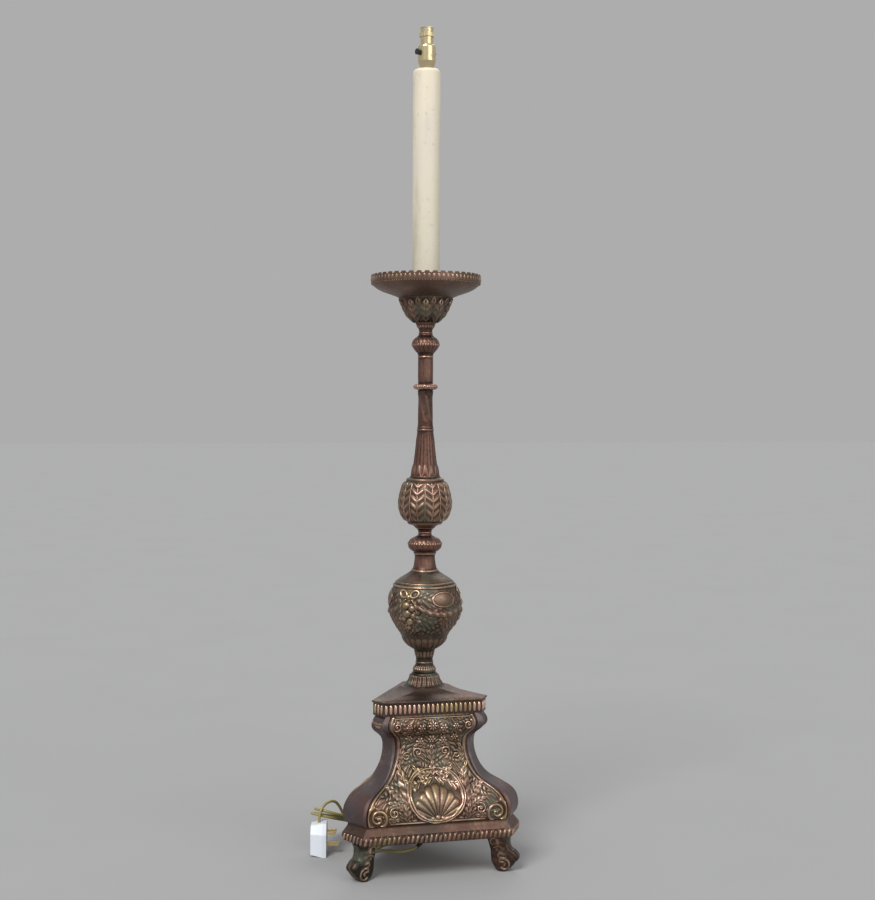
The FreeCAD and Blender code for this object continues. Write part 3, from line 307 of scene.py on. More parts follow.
# --- finishes ------------------------------------------------------------------------------------
@dataclass(frozen=True)
class ChasedMetal:
    """Patinated copper alloy, dark in the recesses and worn bright on what stands out."""

    name: str
    recess: Tone
    ground: Tone
    worn: Tone
    wear: float = 1.0
    carved: bool = True
    bump: float = 0.35
    gilt: Tone = (0.58, 0.43, 0.23)
    green: float = 0.2

    def build(self) -> bpy.types.Material:
        """Make the material.

        Returns:
            The material, whose relief comes from the mesh where the piece is carved.
        """
        sheet = MaterialSheet(self.name)
        if self.carved:
            relief = sheet.add("ShaderNodeAttribute", {"attribute_name": "relief"}).outputs["Fac"]
        else:
            relief = sheet.scaled(sheet.noise(9.0, 2.0), 0.3, 0.35)
        mottle = sheet.group(mottle_group(), Recess=colour(*self.recess), Ground=colour(*self.ground),
                             Worn=colour(*self.worn), Gilt=colour(*self.gilt), Wear=self.wear,
                             Green=self.green, Relief=relief)
        sheet.feed(sheet.shader.inputs["Metallic"], mottle["Metal"])
        return sheet.surface(mottle["Color"], mottle["Gloss"], mottle["Height"], self.bump, 0.0006)


@dataclass(frozen=True)
class BrightMetal:
    """Brass or steel with fine turning marks and a little tarnish."""

    name: str
    tone: Tone
    tarnish: Tone
    roughness: float = 0.28

    def build(self) -> bpy.types.Material:
        """Make the material, with grain round the stem and tarnish in blotches.

        Returns:
            The material.
        """
        sheet = MaterialSheet(self.name)
        mask = sheet.group(grime_group(), Amount=0.9)["Mask"]
        shade = sheet.mix(mask, colour(*self.tone), colour(*self.tarnish))
        rings = sheet.noise(60.0, 2.0, (1.0, 1.0, 60.0))
        sheet.shader.inputs["Metallic"].default_value = 1.0
        return sheet.surface(shade, sheet.scaled(mask, 0.25, self.roughness), rings, 0.08, 0.0002)


@dataclass(frozen=True)
class PaintedCard:
    """Ivory paint on the candle sleeve, with smudges, darker and greener towards the bottom."""

    name: str = "ivory_paint"
    low_height: float = 1.09
    high_height: float = 1.49

    def build(self) -> bpy.types.Material:
        """Make the material from height, smudges and faint brush streaks.

        Returns:
            The material.
        """
        sheet = MaterialSheet(self.name)
        mask = sheet.group(grime_group(), Amount=0.75)["Mask"]
        place = sheet.add("ShaderNodeTexCoord").outputs["Object"]
        height = sheet.add("ShaderNodeSeparateXYZ", Vector=place).outputs["Z"]
        up = sheet.ramp(height, self.low_height, self.high_height)
        # by height, the paint is darker and greener at the bottom and paler at the top
        body = sheet.mix(up, colour(0.60, 0.58, 0.41), colour(0.80, 0.72, 0.56))
        cloud = sheet.ramp(sheet.noise(11.0, 3.0, (1.0, 1.0, 0.4)), 0.4, 0.7)
        warm = sheet.mix(cloud, body, colour(0.70, 0.62, 0.54))
        dirty = sheet.mix(mask, warm, colour(0.40, 0.34, 0.28))
        brush = sheet.noise(45.0, 4.0, (1.0, 1.0, 0.15))
        return sheet.surface(dirty, sheet.scaled(mask, 0.2, 0.42), brush, 0.25, 0.0005)


@dataclass(frozen=True)
class Moulding:
    """Moulded plastic, rubber or tape: a plain tone, faint speckle and a soft sheen."""

    name: str
    tone: Tone
    soil: Tone
    roughness: float = 0.35
    soiling: float = 0.4
    grain: float = 0.12

    def build(self) -> bpy.types.Material:
        """Make the material.

        Returns:
            The material.
        """
        sheet = MaterialSheet(self.name)
        grime = sheet.group(grime_group(), Amount=self.soiling)
        shade = sheet.mix(grime["Mask"], colour(*self.tone), colour(*self.soil))
        rough = sheet.scaled(grime["Mask"], 0.3, self.roughness)
        return sheet.surface(shade, rough, grime["Grain"], self.grain, 0.0002)


@dataclass(frozen=True)
class Timber:
    """Raw softwood inside the plinth, with grain along X."""

    name: str = "raw_softwood"

    def build(self) -> bpy.types.Material:
        """Make the material.

        Returns:
            The material.
        """
        sheet = MaterialSheet(self.name)
        rings = sheet.noise(22.0, 6.0, (0.12, 1.6, 1.6))
        pale, dark = colour(0.30, 0.19, 0.11), colour(0.15, 0.09, 0.05)
        shade = sheet.mix(sheet.ramp(rings, 0.35, 0.65), pale, dark)
        return sheet.surface(shade, sheet.scaled(rings, 0.2, 0.6), rings, 0.3, 0.0004)


class Finish(Enum):
    """The lamp's finishes, each with the slot of the record that it stands for."""

    CHASED = "chased_copper"
    RUDDY = "ruddy_copper"
    TURNED = "turned_copper"
    COVE = "cove_copper"
    SMOOTH = "smooth_copper"
    WOOD = "core_wood"
    STEEL = "steel"
    CARD = "candle_card"
    HOLDER = "holder_brass"
    CONTACT = "contact_brass"
    BLACK = "black_moulding"
    FLEX = "olive_flex"
    TAPE = "tie_tape"
    WHITE = "white_moulding"


class FinishBook:
    """Makes each material once and hands it out by finish."""

    def __init__(self) -> None:
        """Build every material of the lamp."""
        recipes = {
            Finish.CHASED: ChasedMetal("chased_copper", (0.034, 0.031, 0.025), (0.200, 0.139, 0.098),
                                       (0.80, 0.52, 0.40), green=0.65),
            Finish.RUDDY: ChasedMetal("ruddy_copper", (0.040, 0.027, 0.023), (0.185, 0.100, 0.075),
                                      (0.55, 0.33, 0.25), gilt=(0.45, 0.30, 0.19)),
            Finish.TURNED: ChasedMetal("turned_copper", (0.022, 0.018, 0.016), (0.088, 0.060, 0.048),
                                       (0.34, 0.23, 0.18), 0.6, False),
            Finish.COVE: ChasedMetal("cove_copper", (0.050, 0.038, 0.030), (0.155, 0.104, 0.078),
                                     (0.46, 0.31, 0.23), 0.6, False),
            Finish.SMOOTH: ChasedMetal("smooth_copper", (0.040, 0.031, 0.033), (0.122, 0.093, 0.094),
                                       (0.42, 0.34, 0.335), 0.6, False, 0.2),
            Finish.WOOD: Timber(),
            Finish.STEEL: BrightMetal("plain_steel", (0.55, 0.55, 0.54), (0.25, 0.21, 0.17), 0.34),
            Finish.CARD: PaintedCard(),
            Finish.HOLDER: BrightMetal("holder_brass", (0.72, 0.60, 0.36), (0.34, 0.26, 0.13), 0.28),
            Finish.CONTACT: BrightMetal("contact_brass", (0.82, 0.62, 0.30), (0.45, 0.30, 0.14), 0.25),
            Finish.BLACK: Moulding("black_moulding", (0.012, 0.012, 0.012), (0.05, 0.045, 0.04), 0.25),
            Finish.FLEX: Moulding("olive_flex", (0.30, 0.255, 0.085), (0.13, 0.105, 0.04), 0.38, 0.6),
            Finish.TAPE: Moulding("tie_tape", (0.02, 0.02, 0.018), (0.06, 0.055, 0.05), 0.7, 0.5, 0.5),
            Finish.WHITE: Moulding("white_moulding", (0.74, 0.78, 0.84), (0.45, 0.44, 0.42), 0.3, 0.25),
        }
        self.materials = {finish: recipe.build() for finish, recipe in recipes.items()}

    def paint(self, finish: Finish, *nodes: str) -> None:
        """Give carried-over nodes their finish.

        Args:
            finish: the finish.
            nodes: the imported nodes.
        """
        for node in nodes:
            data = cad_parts[node].data
            data.materials.clear()
            data.materials.append(self.materials[finish])
            LOG.info("%s: %s", node, finish.value)


# --- meshes --------------------------------------------------------------------------------------
def add_object(name: str, data: object) -> bpy.types.Object:
    """Put an object into the scene, at the origin.

    Args:
        name: the object's name.
        data: what it shows.

    Returns:
        The piece.
    """
    added = bpy.data.objects.new(name, data)
    bpy.context.scene.collection.objects.link(added)
    return added


def new_piece(name: str, vertices: Array | list, faces: list, material: bpy.types.Material,
              relief: Array | None = None, smooth: bool = True) -> bpy.types.Object:
    """Make a mesh object at the origin.

    Args:
        name: the piece's name.
        vertices: its points, in metres.
        faces: tuples of point numbers.
        material: its one material.
        relief: a value from 0 to 1 on each point, for the patina.
        smooth: whether the faces are shaded smooth.

    Returns:
        The new object, linked to the scene.
    """
    mesh = bpy.data.meshes.new(name)
    mesh.from_pydata([tuple(v) for v in vertices], [], faces)
    mesh.update()
    if relief is not None:
        layer = mesh.attributes.new("relief", "FLOAT", "POINT")
        layer.data.foreach_set("value", np.asarray(relief, dtype=np.float32))
    mesh.materials.append(material)
    mesh.polygons.foreach_set("use_smooth", [smooth] * len(mesh.polygons))
    return add_object(name, mesh)


def new_tube(name: str, places: list[Point], radius: float, material: bpy.types.Material,
             widths: tuple[float, ...] = ()) -> bpy.types.Object:
    """Make a round tube along one NURBS spline.

    Args:
        name: the piece's name.
        places: the points that shape it, in millimetres.
        radius: its radius, in millimetres.
        material: its one material.
        widths: a factor on the radius at each point, where the tube tapers.

    Returns:
        The new curve object.
    """
    curve = bpy.data.curves.new(name, "CURVE")
    curve.dimensions = "3D"
    curve.bevel_depth = radius * MM
    curve.bevel_resolution = 5
    curve.resolution_u = 8
    curve.use_fill_caps = True
    spline = curve.splines.new("NURBS")
    spline.points.add(len(places) - 1)
    for knot, place in zip(spline.points, places):
        knot.co = (place[0] * MM, place[1] * MM, place[2] * MM, 1.0)
    for knot, width in zip(spline.points, widths):
        knot.radius = width
    spline.order_u = 3
    spline.use_endpoint_u = True
    curve.materials.append(material)
    return add_object(name, curve)


def settle(piece: bpy.types.Object, slot: Finish, *nodes: str, body: str = STAND) -> bpy.types.Object:
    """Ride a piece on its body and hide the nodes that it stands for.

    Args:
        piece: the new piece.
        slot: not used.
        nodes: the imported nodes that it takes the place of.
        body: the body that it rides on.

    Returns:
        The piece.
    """
    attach(piece, body)
    if nodes:
        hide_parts(*nodes)
    LOG.info("%s: %d faces", piece.name, len(piece.data.polygons) if piece.type == "MESH" else 0)
    return piece


def grid_faces(rows: int, columns: int, closed: bool) -> Faces:
    """Quads of a grid whose points run row by row, seen with the columns anticlockwise.

    Args:
        rows: how many points it has going up.
        columns: how many points each row has.
        closed: whether each row joins up.

    Returns:
        The faces, as tuples of point numbers.
    """
    faces: Faces = []
    last = columns if closed else columns - 1
    for row in range(rows - 1):
        for column in range(last):
            here = row * columns + column
            beside = row * columns + (column + 1) % columns
            faces.append((here, beside, beside + columns, here + columns))
    return faces


def bump_profile(distance: Array, half_width: float | Array) -> Array:
    """A rounded ridge, 1 in its middle and 0 from its half width on."""
    return np.clip(1.0 - (distance / half_width) ** 2, 0.0, 1.0) ** 0.65


@dataclass(frozen=True)
class Leaf:
    """An acanthus leaf on a flat field: its root, tip and lobes, in millimetres."""

    root: Spot
    tip: Spot
    width: float
    lobes: float = 4.0
    bend: float = 0.0
    rise: float = 3.0

    def height(self, x: Array, z: Array) -> Array:
        """The leaf's height over the field at each place.

        Args:
            x: places across the field, in millimetres.
            z: heights above the floor, in millimetres.

        Returns:
            The relief at each place, in millimetres.
        """
        along = np.array(self.tip) - np.array(self.root)
        length = float(np.hypot(*along))
        unit = along / length
        share = ((x - self.root[0]) * unit[0] + (z - self.root[1]) * unit[1]) / length
        across = (z - self.root[1]) * unit[0] - (x - self.root[0]) * unit[1]
        inner = np.clip(share, 0.0, 1.0)
        across = across - self.bend * length * 4.0 * inner * (1.0 - inner)
        scallop = 0.72 + 0.28 * np.abs(np.sin(self.lobes * math.pi * inner))
        outline = self.width * np.sin(math.pi * inner ** 0.75) ** 0.8 * scallop + 0.01
        reach = np.abs(across) / outline
        body = np.clip(1.0 - reach ** 2, 0.0, 1.0) ** 0.5
        waves = 0.2 * np.cos(TURN * (self.lobes * inner - 0.8 * reach))
        veins = 1.0 - 0.35 * np.exp(-(across / 0.9) ** 2) + waves
        raised = self.rise * body * veins * (0.55 + 0.45 * inner)
        return np.where((share > 0.0) & (share < 1.0), raised, 0.0)


@dataclass(frozen=True)
class Volute:
    """A spiral ridge that winds in to a small boss, in millimetres."""

    centre: Spot
    radius: float
    turns: float = 1.8
    phase: float = 90.0
    hand: int = 1
    width: float = 2.2
    rise: float = 2.4

    def height(self, x: Array, z: Array) -> Array:
        """The spiral's height over the field at each place.

        Args:
            x: places across the field, in millimetres.
            z: heights above the floor, in millimetres.

        Returns:
            The relief at each place, in millimetres.
        """
        dx, dz = x - self.centre[0], z - self.centre[1]
        distance = np.hypot(dx, dz)
        turned = np.mod(self.hand * (np.arctan2(dz, dx) - math.radians(self.phase)), TURN)
        found = 0.9 * bump_profile(distance, self.radius * 0.17)
        for winding in range(int(self.turns) + 1):
            share = (turned + winding * TURN) / (TURN * self.turns)
            path = self.radius * np.clip(1.0 - share, 0.0, 1.0) ** 0.85
            ridge = bump_profile(distance - path, self.width * (1.15 - 0.6 * np.clip(share, 0.0, 1.0)))
            found = np.maximum(found, np.where(share <= 0.93, ridge, 0.0))
        return self.rise * found


@dataclass(frozen=True)
class Rosette:
    """A flower with a boss in its middle, in millimetres."""

    centre: Spot
    radius: float
    petals: int = 6
    rise: float = 2.6

    def height(self, x: Array, z: Array) -> Array:
        """The flower's height over the field at each place.

        Args:
            x: places across the field, in millimetres.
            z: heights above the floor, in millimetres.

        Returns:
            The relief at each place, in millimetres.
        """
        dx, dz = x - self.centre[0], z - self.centre[1]
        distance = np.hypot(dx, dz)
        wave = np.cos(self.petals * np.arctan2(dz, dx))
        outline = self.radius * (0.82 + 0.18 * wave)
        ring = bump_profile(distance - outline * 0.58, outline * 0.44) * (0.8 + 0.2 * wave)
        return self.rise * np.maximum(ring, 1.1 * bump_profile(distance, self.radius * 0.27))


@dataclass(frozen=True)
class Berry:
    """A round or oval boss, in millimetres."""

    centre: Spot
    radius: float
    rise: float
    squash: float = 1.0

    def height(self, x: Array, z: Array) -> Array:
        """The boss's height over the field at each place."""
        distance = np.hypot(x - self.centre[0], (z - self.centre[1]) / self.squash)
        return self.rise * bump_profile(distance, self.radius)


Ornament = Leaf | Volute | Rosette | Berry


def raise_all(x: Array, z: Array, ornaments: list[Ornament]) -> Array:
    """The highest of several ornaments at each place.

    Args:
        x: places across the field, in millimetres.
        z: heights above the floor, in millimetres.
        ornaments: what is raised on the field.

    Returns:
        The height at each place, in millimetres.
    """
    height = np.zeros_like(x)
    for ornament in ornaments:
        height = np.maximum(height, ornament.height(x, z))
    return height


def relief_mask(height: Array, closed: bool) -> Array:
    """How far each place stands out from what is round it, from 0 in a recess to 1 on a crest.

    Args:
        height: a grid of heights, in millimetres.
        closed: whether the columns join up.

    Returns:
        The grid of masks.
    """
    near = height.copy()
    for _ in range(5):
        sides = np.roll(near, 1, 1) + np.roll(near, -1, 1)
        if not closed:
            sides[:, 0] = 2.0 * near[:, 0]
            sides[:, -1] = 2.0 * near[:, -1]
        ends = np.vstack([near[:1], near[:-1]]) + np.vstack([near[1:], near[-1:]])
        near = (near + sides + ends) / 5.0
    top = max(float(height.max()), 0.5)
    return np.clip(0.30 + 0.36 * height / top + 0.60 * (height - near), 0.0, 1.0)


class Caliper:
    """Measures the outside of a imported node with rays, so that what replaces it has its profile."""

    def __init__(self, node: str) -> None:
        """Take a node.

        Args:
            node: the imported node's name.
        """
        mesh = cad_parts[node].data
        corners = [v.co.copy() for v in mesh.vertices]
        self.tree = BVHTree.FromPolygons(corners, [tuple(p.vertices) for p in mesh.polygons])
        self.low, self.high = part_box(node)

    def radius(self, height: float, angle: float = 0.4) -> float:
        """The outside's distance from the stem at a height, in metres.

        Args:
            height: the height to measure at, in metres.
            angle: the way to measure, in radians.

        Returns:
            The distance, in metres.
        """
        way = Vector((math.cos(angle), math.sin(angle), 0.0))
        hit = self.tree.ray_cast(way * 0.5 + Vector((0.0, 0.0, height)), -way)[0]
        return math.hypot(hit.x, hit.y) if hit else 0.0

    def profile(self, rows: int) -> tuple[Array, Array]:
        """Heights and radii from the node's foot to its top, in metres.

        Args:
            rows: how many heights to measure.

        Returns:
            The heights and the radii.
        """
        margin = 0.02 * MM
        heights = np.linspace(self.low.z + margin, self.high.z - margin, rows)
        radii = np.array([self.radius(float(z)) for z in heights])
        heights[0], heights[-1] = self.low.z, self.high.z
        return heights, radii


@dataclass
class TurnedPiece:
    """A turned and chased piece of the stem: a node's profile with relief raised on it."""

    node: str
    relief: Relief
    rows: int = 80
    columns: int = 300
    finish: Finish = Finish.CHASED
    shade: float = 0.0  # how much darker its crests are than the vase's

    def build(self, book: FinishBook) -> bpy.types.Object:
        """Make the closed mesh.

        Args:
            book: the lamp's materials.

        Returns:
            The piece, in the place of its node.
        """
        heights, radii = Caliper(self.node).profile(self.rows)
        angles = np.arange(self.columns) * TURN / self.columns
        turn, level = np.meshgrid(angles, heights)
        raised = self.relief(turn - FRONT, level / MM) * np.ones_like(turn)
        raised[0] = raised[-1] = 0.0
        slope = np.gradient(radii, heights)[:, None]
        steep = np.sqrt(1.0 + slope ** 2)
        out = radii[:, None] + raised * MM / steep
        rise = level - raised * MM * slope / steep
        rise = np.clip(rise, heights[0], heights[-1])
        points = np.stack([out * np.cos(turn), out * np.sin(turn), rise], -1).reshape(-1, 3)
        faces = grid_faces(self.rows, self.columns, True)
        count = self.rows * self.columns
        points = np.vstack([points, [[0.0, 0.0, heights[0]], [0.0, 0.0, heights[-1]]]])
        last = (self.rows - 1) * self.columns
        for column in range(self.columns):
            beside = (column + 1) % self.columns
            faces.append((beside, column, count))
            faces.append((last + column, last + beside, count + 1))
        reach = max(3, int(self.rows * 0.004 / max(heights[-1] - heights[0], 0.004)))
        padded = np.pad(radii, reach, "edge")
        around = np.convolve(padded, np.full(2 * reach + 1, 1.0 / (2 * reach + 1)), "valid")
        shape = np.clip((radii - around) / MM * 0.22, -0.25, 0.35)[:, None]
        worn = np.clip(relief_mask(raised, True) + shape - self.shade, 0.0, 1.0)
        cap_worn = 0.4
        mask = np.append(worn.ravel(), [cap_worn, cap_worn])
        piece = new_piece(f"chased_{self.node}", points, faces, book.materials[self.finish], mask)
        return settle(piece, Finish.CHASED, self.node)


# --- repeats -------------------------------------------------------------------------------------
def lobe_tree() -> bpy.types.NodeTree:
    """The geometry tree that sets a rounded lobe on each point of a mesh.

    Returns:
        The tree, with the inputs Half Size, Crest and Finish.
    """
    name = "lobe_row"
    if name in bpy.data.node_groups:
        return bpy.data.node_groups[name]
    sheet, source, sink = new_group(name, "GeometryNodeTree", {
        "Geometry": "Geometry", "Half Size": "Vector", "Crest": "Float", "Finish": "Material",
    }, {"Geometry": "Geometry"})
    ball = sheet.add("GeometryNodeMeshUVSphere", Segments=10, Rings=7, Radius=1.0)
    turn = sheet.add("GeometryNodeInputNamedAttribute", {"data_type": "FLOAT_VECTOR"}, Name="turn")
    spin = sheet.add("FunctionNodeEulerToRotation", Euler=turn.outputs["Attribute"])
    lobes_set = sheet.add("GeometryNodeInstanceOnPoints", Points=source["Geometry"],
                          Instance=ball.outputs["Mesh"], Rotation=spin.outputs[0], Scale=source["Half Size"])
    real = sheet.add("GeometryNodeRealizeInstances", Geometry=lobes_set.outputs[0])
    smooth = sheet.add("GeometryNodeSetShadeSmooth", Geometry=real.outputs[0])
    worn = sheet.add("GeometryNodeStoreNamedAttribute", Geometry=smooth.outputs[0], Name="relief",
                     Value=source["Crest"])
    painted = sheet.add("GeometryNodeSetMaterial", Geometry=worn.outputs[0], Material=source["Finish"])
    sheet.feed(sink["Geometry"], painted.outputs[0])
    return sheet.tree


@dataclass
class LobeRow:
    """A row of equal lobes: gadroons, flutes or beads, in millimetres."""

    name: str
    pitch: float
    half_size: Point
    slant: float = 0.0  # degrees that each lobe leans along its row
    crest: float = 0.6  # how worn the lobes are, from 0 to 1
    bed: float = 0.4  # how far the lobes' middles sit inside their course
    end_gap: float = 1.0  # what stays free at each end of a straight side

    def along(self, bearing: float, distance: float, half: float, height: float) -> Places:
        """Places along one straight side.

        Args:
            bearing: the way that the side faces, in radians.
            distance: the side's distance from the stem, in millimetres.
            half: the side's half width.
            height: the row's height.

        Returns:
            Each place with the way that it faces.
        """
        count = max(1, round(2.0 * half / self.pitch))
        step = 2.0 * half / count
        places = []
        for number in range(count):
            across = -half + (number + 0.5) * step
            x = distance * math.cos(bearing) - across * math.sin(bearing)
            y = distance * math.sin(bearing) + across * math.cos(bearing)
            places.append(((x, y, height), bearing))
        return places

    def round_plinth(self, node: str, height: float) -> Places:
        """Places round the six sides of a plinth course.

        Args:
            node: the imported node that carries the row.
            height: the row's height, in millimetres.

        Returns:
            Each place with the way that it faces.
        """
        caliper = Caliper(node)
        front = caliper.radius(height * MM, math.radians(-90.0)) / MM
        reach = caliper.radius(height * MM, math.radians(-30.0)) / MM
        slope = 0.866  # the cosine of 30 degrees
        cut = max(0.0, (front - 0.5 * reach) / (0.5 * slope))
        half = slope * reach - 0.25 * cut
        places = []
        for side in range(3):
            turn = math.radians(-90.0 + 120.0 * side)
            places += self.along(turn, front - self.bed, half - self.end_gap, height)
            corner = turn + math.radians(60.0)
            places += self.along(corner, reach - self.bed, cut / 2.0 - self.end_gap, height)
        return places

    def round_stem(self, node: str, height: float) -> Places:
        """Places round a turned node.

        Args:
            node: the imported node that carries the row.
            height: the row's height, in millimetres.

        Returns:
            Each place with the way that it faces.
        """
        radius = Caliper(node).radius(height * MM, FRONT) / MM - self.bed
        count = round(TURN * radius / self.pitch)
        bearings = [number * TURN / count for number in range(count)]
        return [((radius * math.cos(b), radius * math.sin(b), height), b) for b in bearings]

    def build(self, places: Places, book: FinishBook) -> bpy.types.Object:
        """Make the row as one plain mesh.

        Args:
            places: where the lobes go and the way that each faces.
            book: the lamp's materials.

        Returns:
            The row.
        """
        mesh = bpy.data.meshes.new(self.name)
        mesh.from_pydata([tuple(v * MM for v in place) for place, _ in places], [], [])
        turns = [(0.0, math.radians(self.slant), bearing + math.pi / 2.0) for _, bearing in places]
        layer = mesh.attributes.new("turn", "FLOAT_VECTOR", "POINT")
        layer.data.foreach_set("vector", np.array(turns, dtype=np.float32).ravel())
        piece = add_object(self.name, mesh)
        modifier = piece.modifiers.new("lobes", "NODES")
        tree = lobe_tree()
        modifier.node_group = tree
        sockets = {item.name: item.identifier for item in tree.interface.items_tree
                   if item.in_out == "INPUT"}
        modifier[sockets["Half Size"]] = [v * MM for v in self.half_size]
        modifier[sockets["Crest"]] = self.crest
        modifier[sockets["Finish"]] = book.materials[Finish.CHASED]
        graph = bpy.context.evaluated_depsgraph_get()
        made = bpy.data.meshes.new_from_object(piece.evaluated_get(graph))
        piece.modifiers.clear()
        piece.data = made
        return settle(piece, Finish.CHASED)


# --- plinth --------------------------------------------------------------------------------------
@dataclass
class ScrollFoot:
    """A scroll foot with leafy sides and a curled toe, in the outline of its node."""

    node: str
    turn: float
    rows: int = 110
    columns: int = 120
    soft: float = 0.45  # the power that rounds the corners of its section
    margin: float = 0.3  # how far from its ends it is measured
    low_fade: float = 2.0  # the height over which its relief starts
    high_fade: float = 3.0  # the height over which its relief ends

    def relief(self, out: Array, z: Array, across: Array) -> Array:
        """Leaf veins, a curled toe and a curl under the plinth, in millimetres.

        Args:
            out: distances from the stem, in millimetres.
            z: heights above the floor, in millimetres.
            across: distances from the foot's middle plane, in millimetres.

        Returns:
            The relief at each place, in millimetres.
        """
        toe = Volute((158.0, 13.0), 12.0, 1.6, 120.0, -1, 2.2, 2.6).height(out, z)
        knee = Volute((138.0, 53.0), 10.0, 1.5, -90.0, 1, 2.0, 2.4).height(out, z)
        leaf = Leaf((140.0, 66.0), (150.0, 14.0), 11.0, 5.0, 0.1, 2.6).height(out, z)
        veins = 0.8 * np.abs(np.sin(z / 4.2 + across / 3.0 + out / 7.0))
        return np.maximum.reduce([toe, knee, leaf, veins])

    def build(self, book: FinishBook) -> bpy.types.Object:
        """Make the foot as a closed mesh.

        Args:
            book: the lamp's materials.

        Returns:
            The piece.
        """
        caliper = Caliper(self.node)
        angle = math.radians(self.turn)
        ahead = Vector((math.cos(angle), math.sin(angle), 0.0))
        aside = Vector((-math.sin(angle), math.cos(angle), 0.0))
        low, high = caliper.low.z, caliper.high.z
        heights = np.linspace(low, high, self.rows)
        round_it = np.arange(self.columns) * TURN / self.columns
        co, si = np.cos(round_it), np.sin(round_it)
        rings, masks = [], []
        for height in np.clip(heights, low + self.margin * MM, high - self.margin * MM):
            up = Vector((0.0, 0.0, float(height)))
            outer = caliper.tree.ray_cast(ahead * 0.5 + up, -ahead)[0]
            inner = caliper.tree.ray_cast(ahead * 0.02 + up, ahead)[0]
            near, far = inner.dot(ahead), outer.dot(ahead)
            middle, half = (near + far) / 2.0, (far - near) / 2.0
            side = caliper.tree.ray_cast(ahead * middle + aside * 0.2 + up, -aside)[0].dot(aside)
            out = middle + half * np.sign(co) * np.abs(co) ** self.soft
            across = side * np.sign(si) * np.abs(si) ** self.soft
            raised = self.relief(out / MM, float(height) / MM * np.ones_like(out), across / MM)
            fade = min(1.0, (height - low) / (self.low_fade * MM), (high - height) / (self.high_fade * MM))
            raised = raised * fade
            across = across + 0.7 * np.sign(si) * np.abs(si) * raised * MM
            out = out + 0.5 * np.sign(co) * np.abs(co) * raised * MM
            rings.append(np.stack([out, across], -1))
            masks.append(raised)
        grid, raised = np.array(rings), np.array(masks)
        x = grid[..., 0] * ahead.x + grid[..., 1] * aside.x
        y = grid[..., 0] * ahead.y + grid[..., 1] * aside.y
        z = np.repeat(heights[:, None], self.columns, 1)
        points = np.stack([x, y, z], -1).reshape(-1, 3)
        faces = grid_faces(self.rows, self.columns, True)
        last = (self.rows - 1) * self.columns
        faces.append(tuple(range(self.columns - 1, -1, -1)))
        faces.append(tuple(range(last, last + self.columns)))
        mask = np.clip(relief_mask(raised, True) - 0.22, 0.0, 1.0).ravel()
        piece = new_piece(f"carved_{self.node}", points, faces, book.materials[Finish.CHASED], mask)
        return settle(piece, Finish.CHASED, self.node)


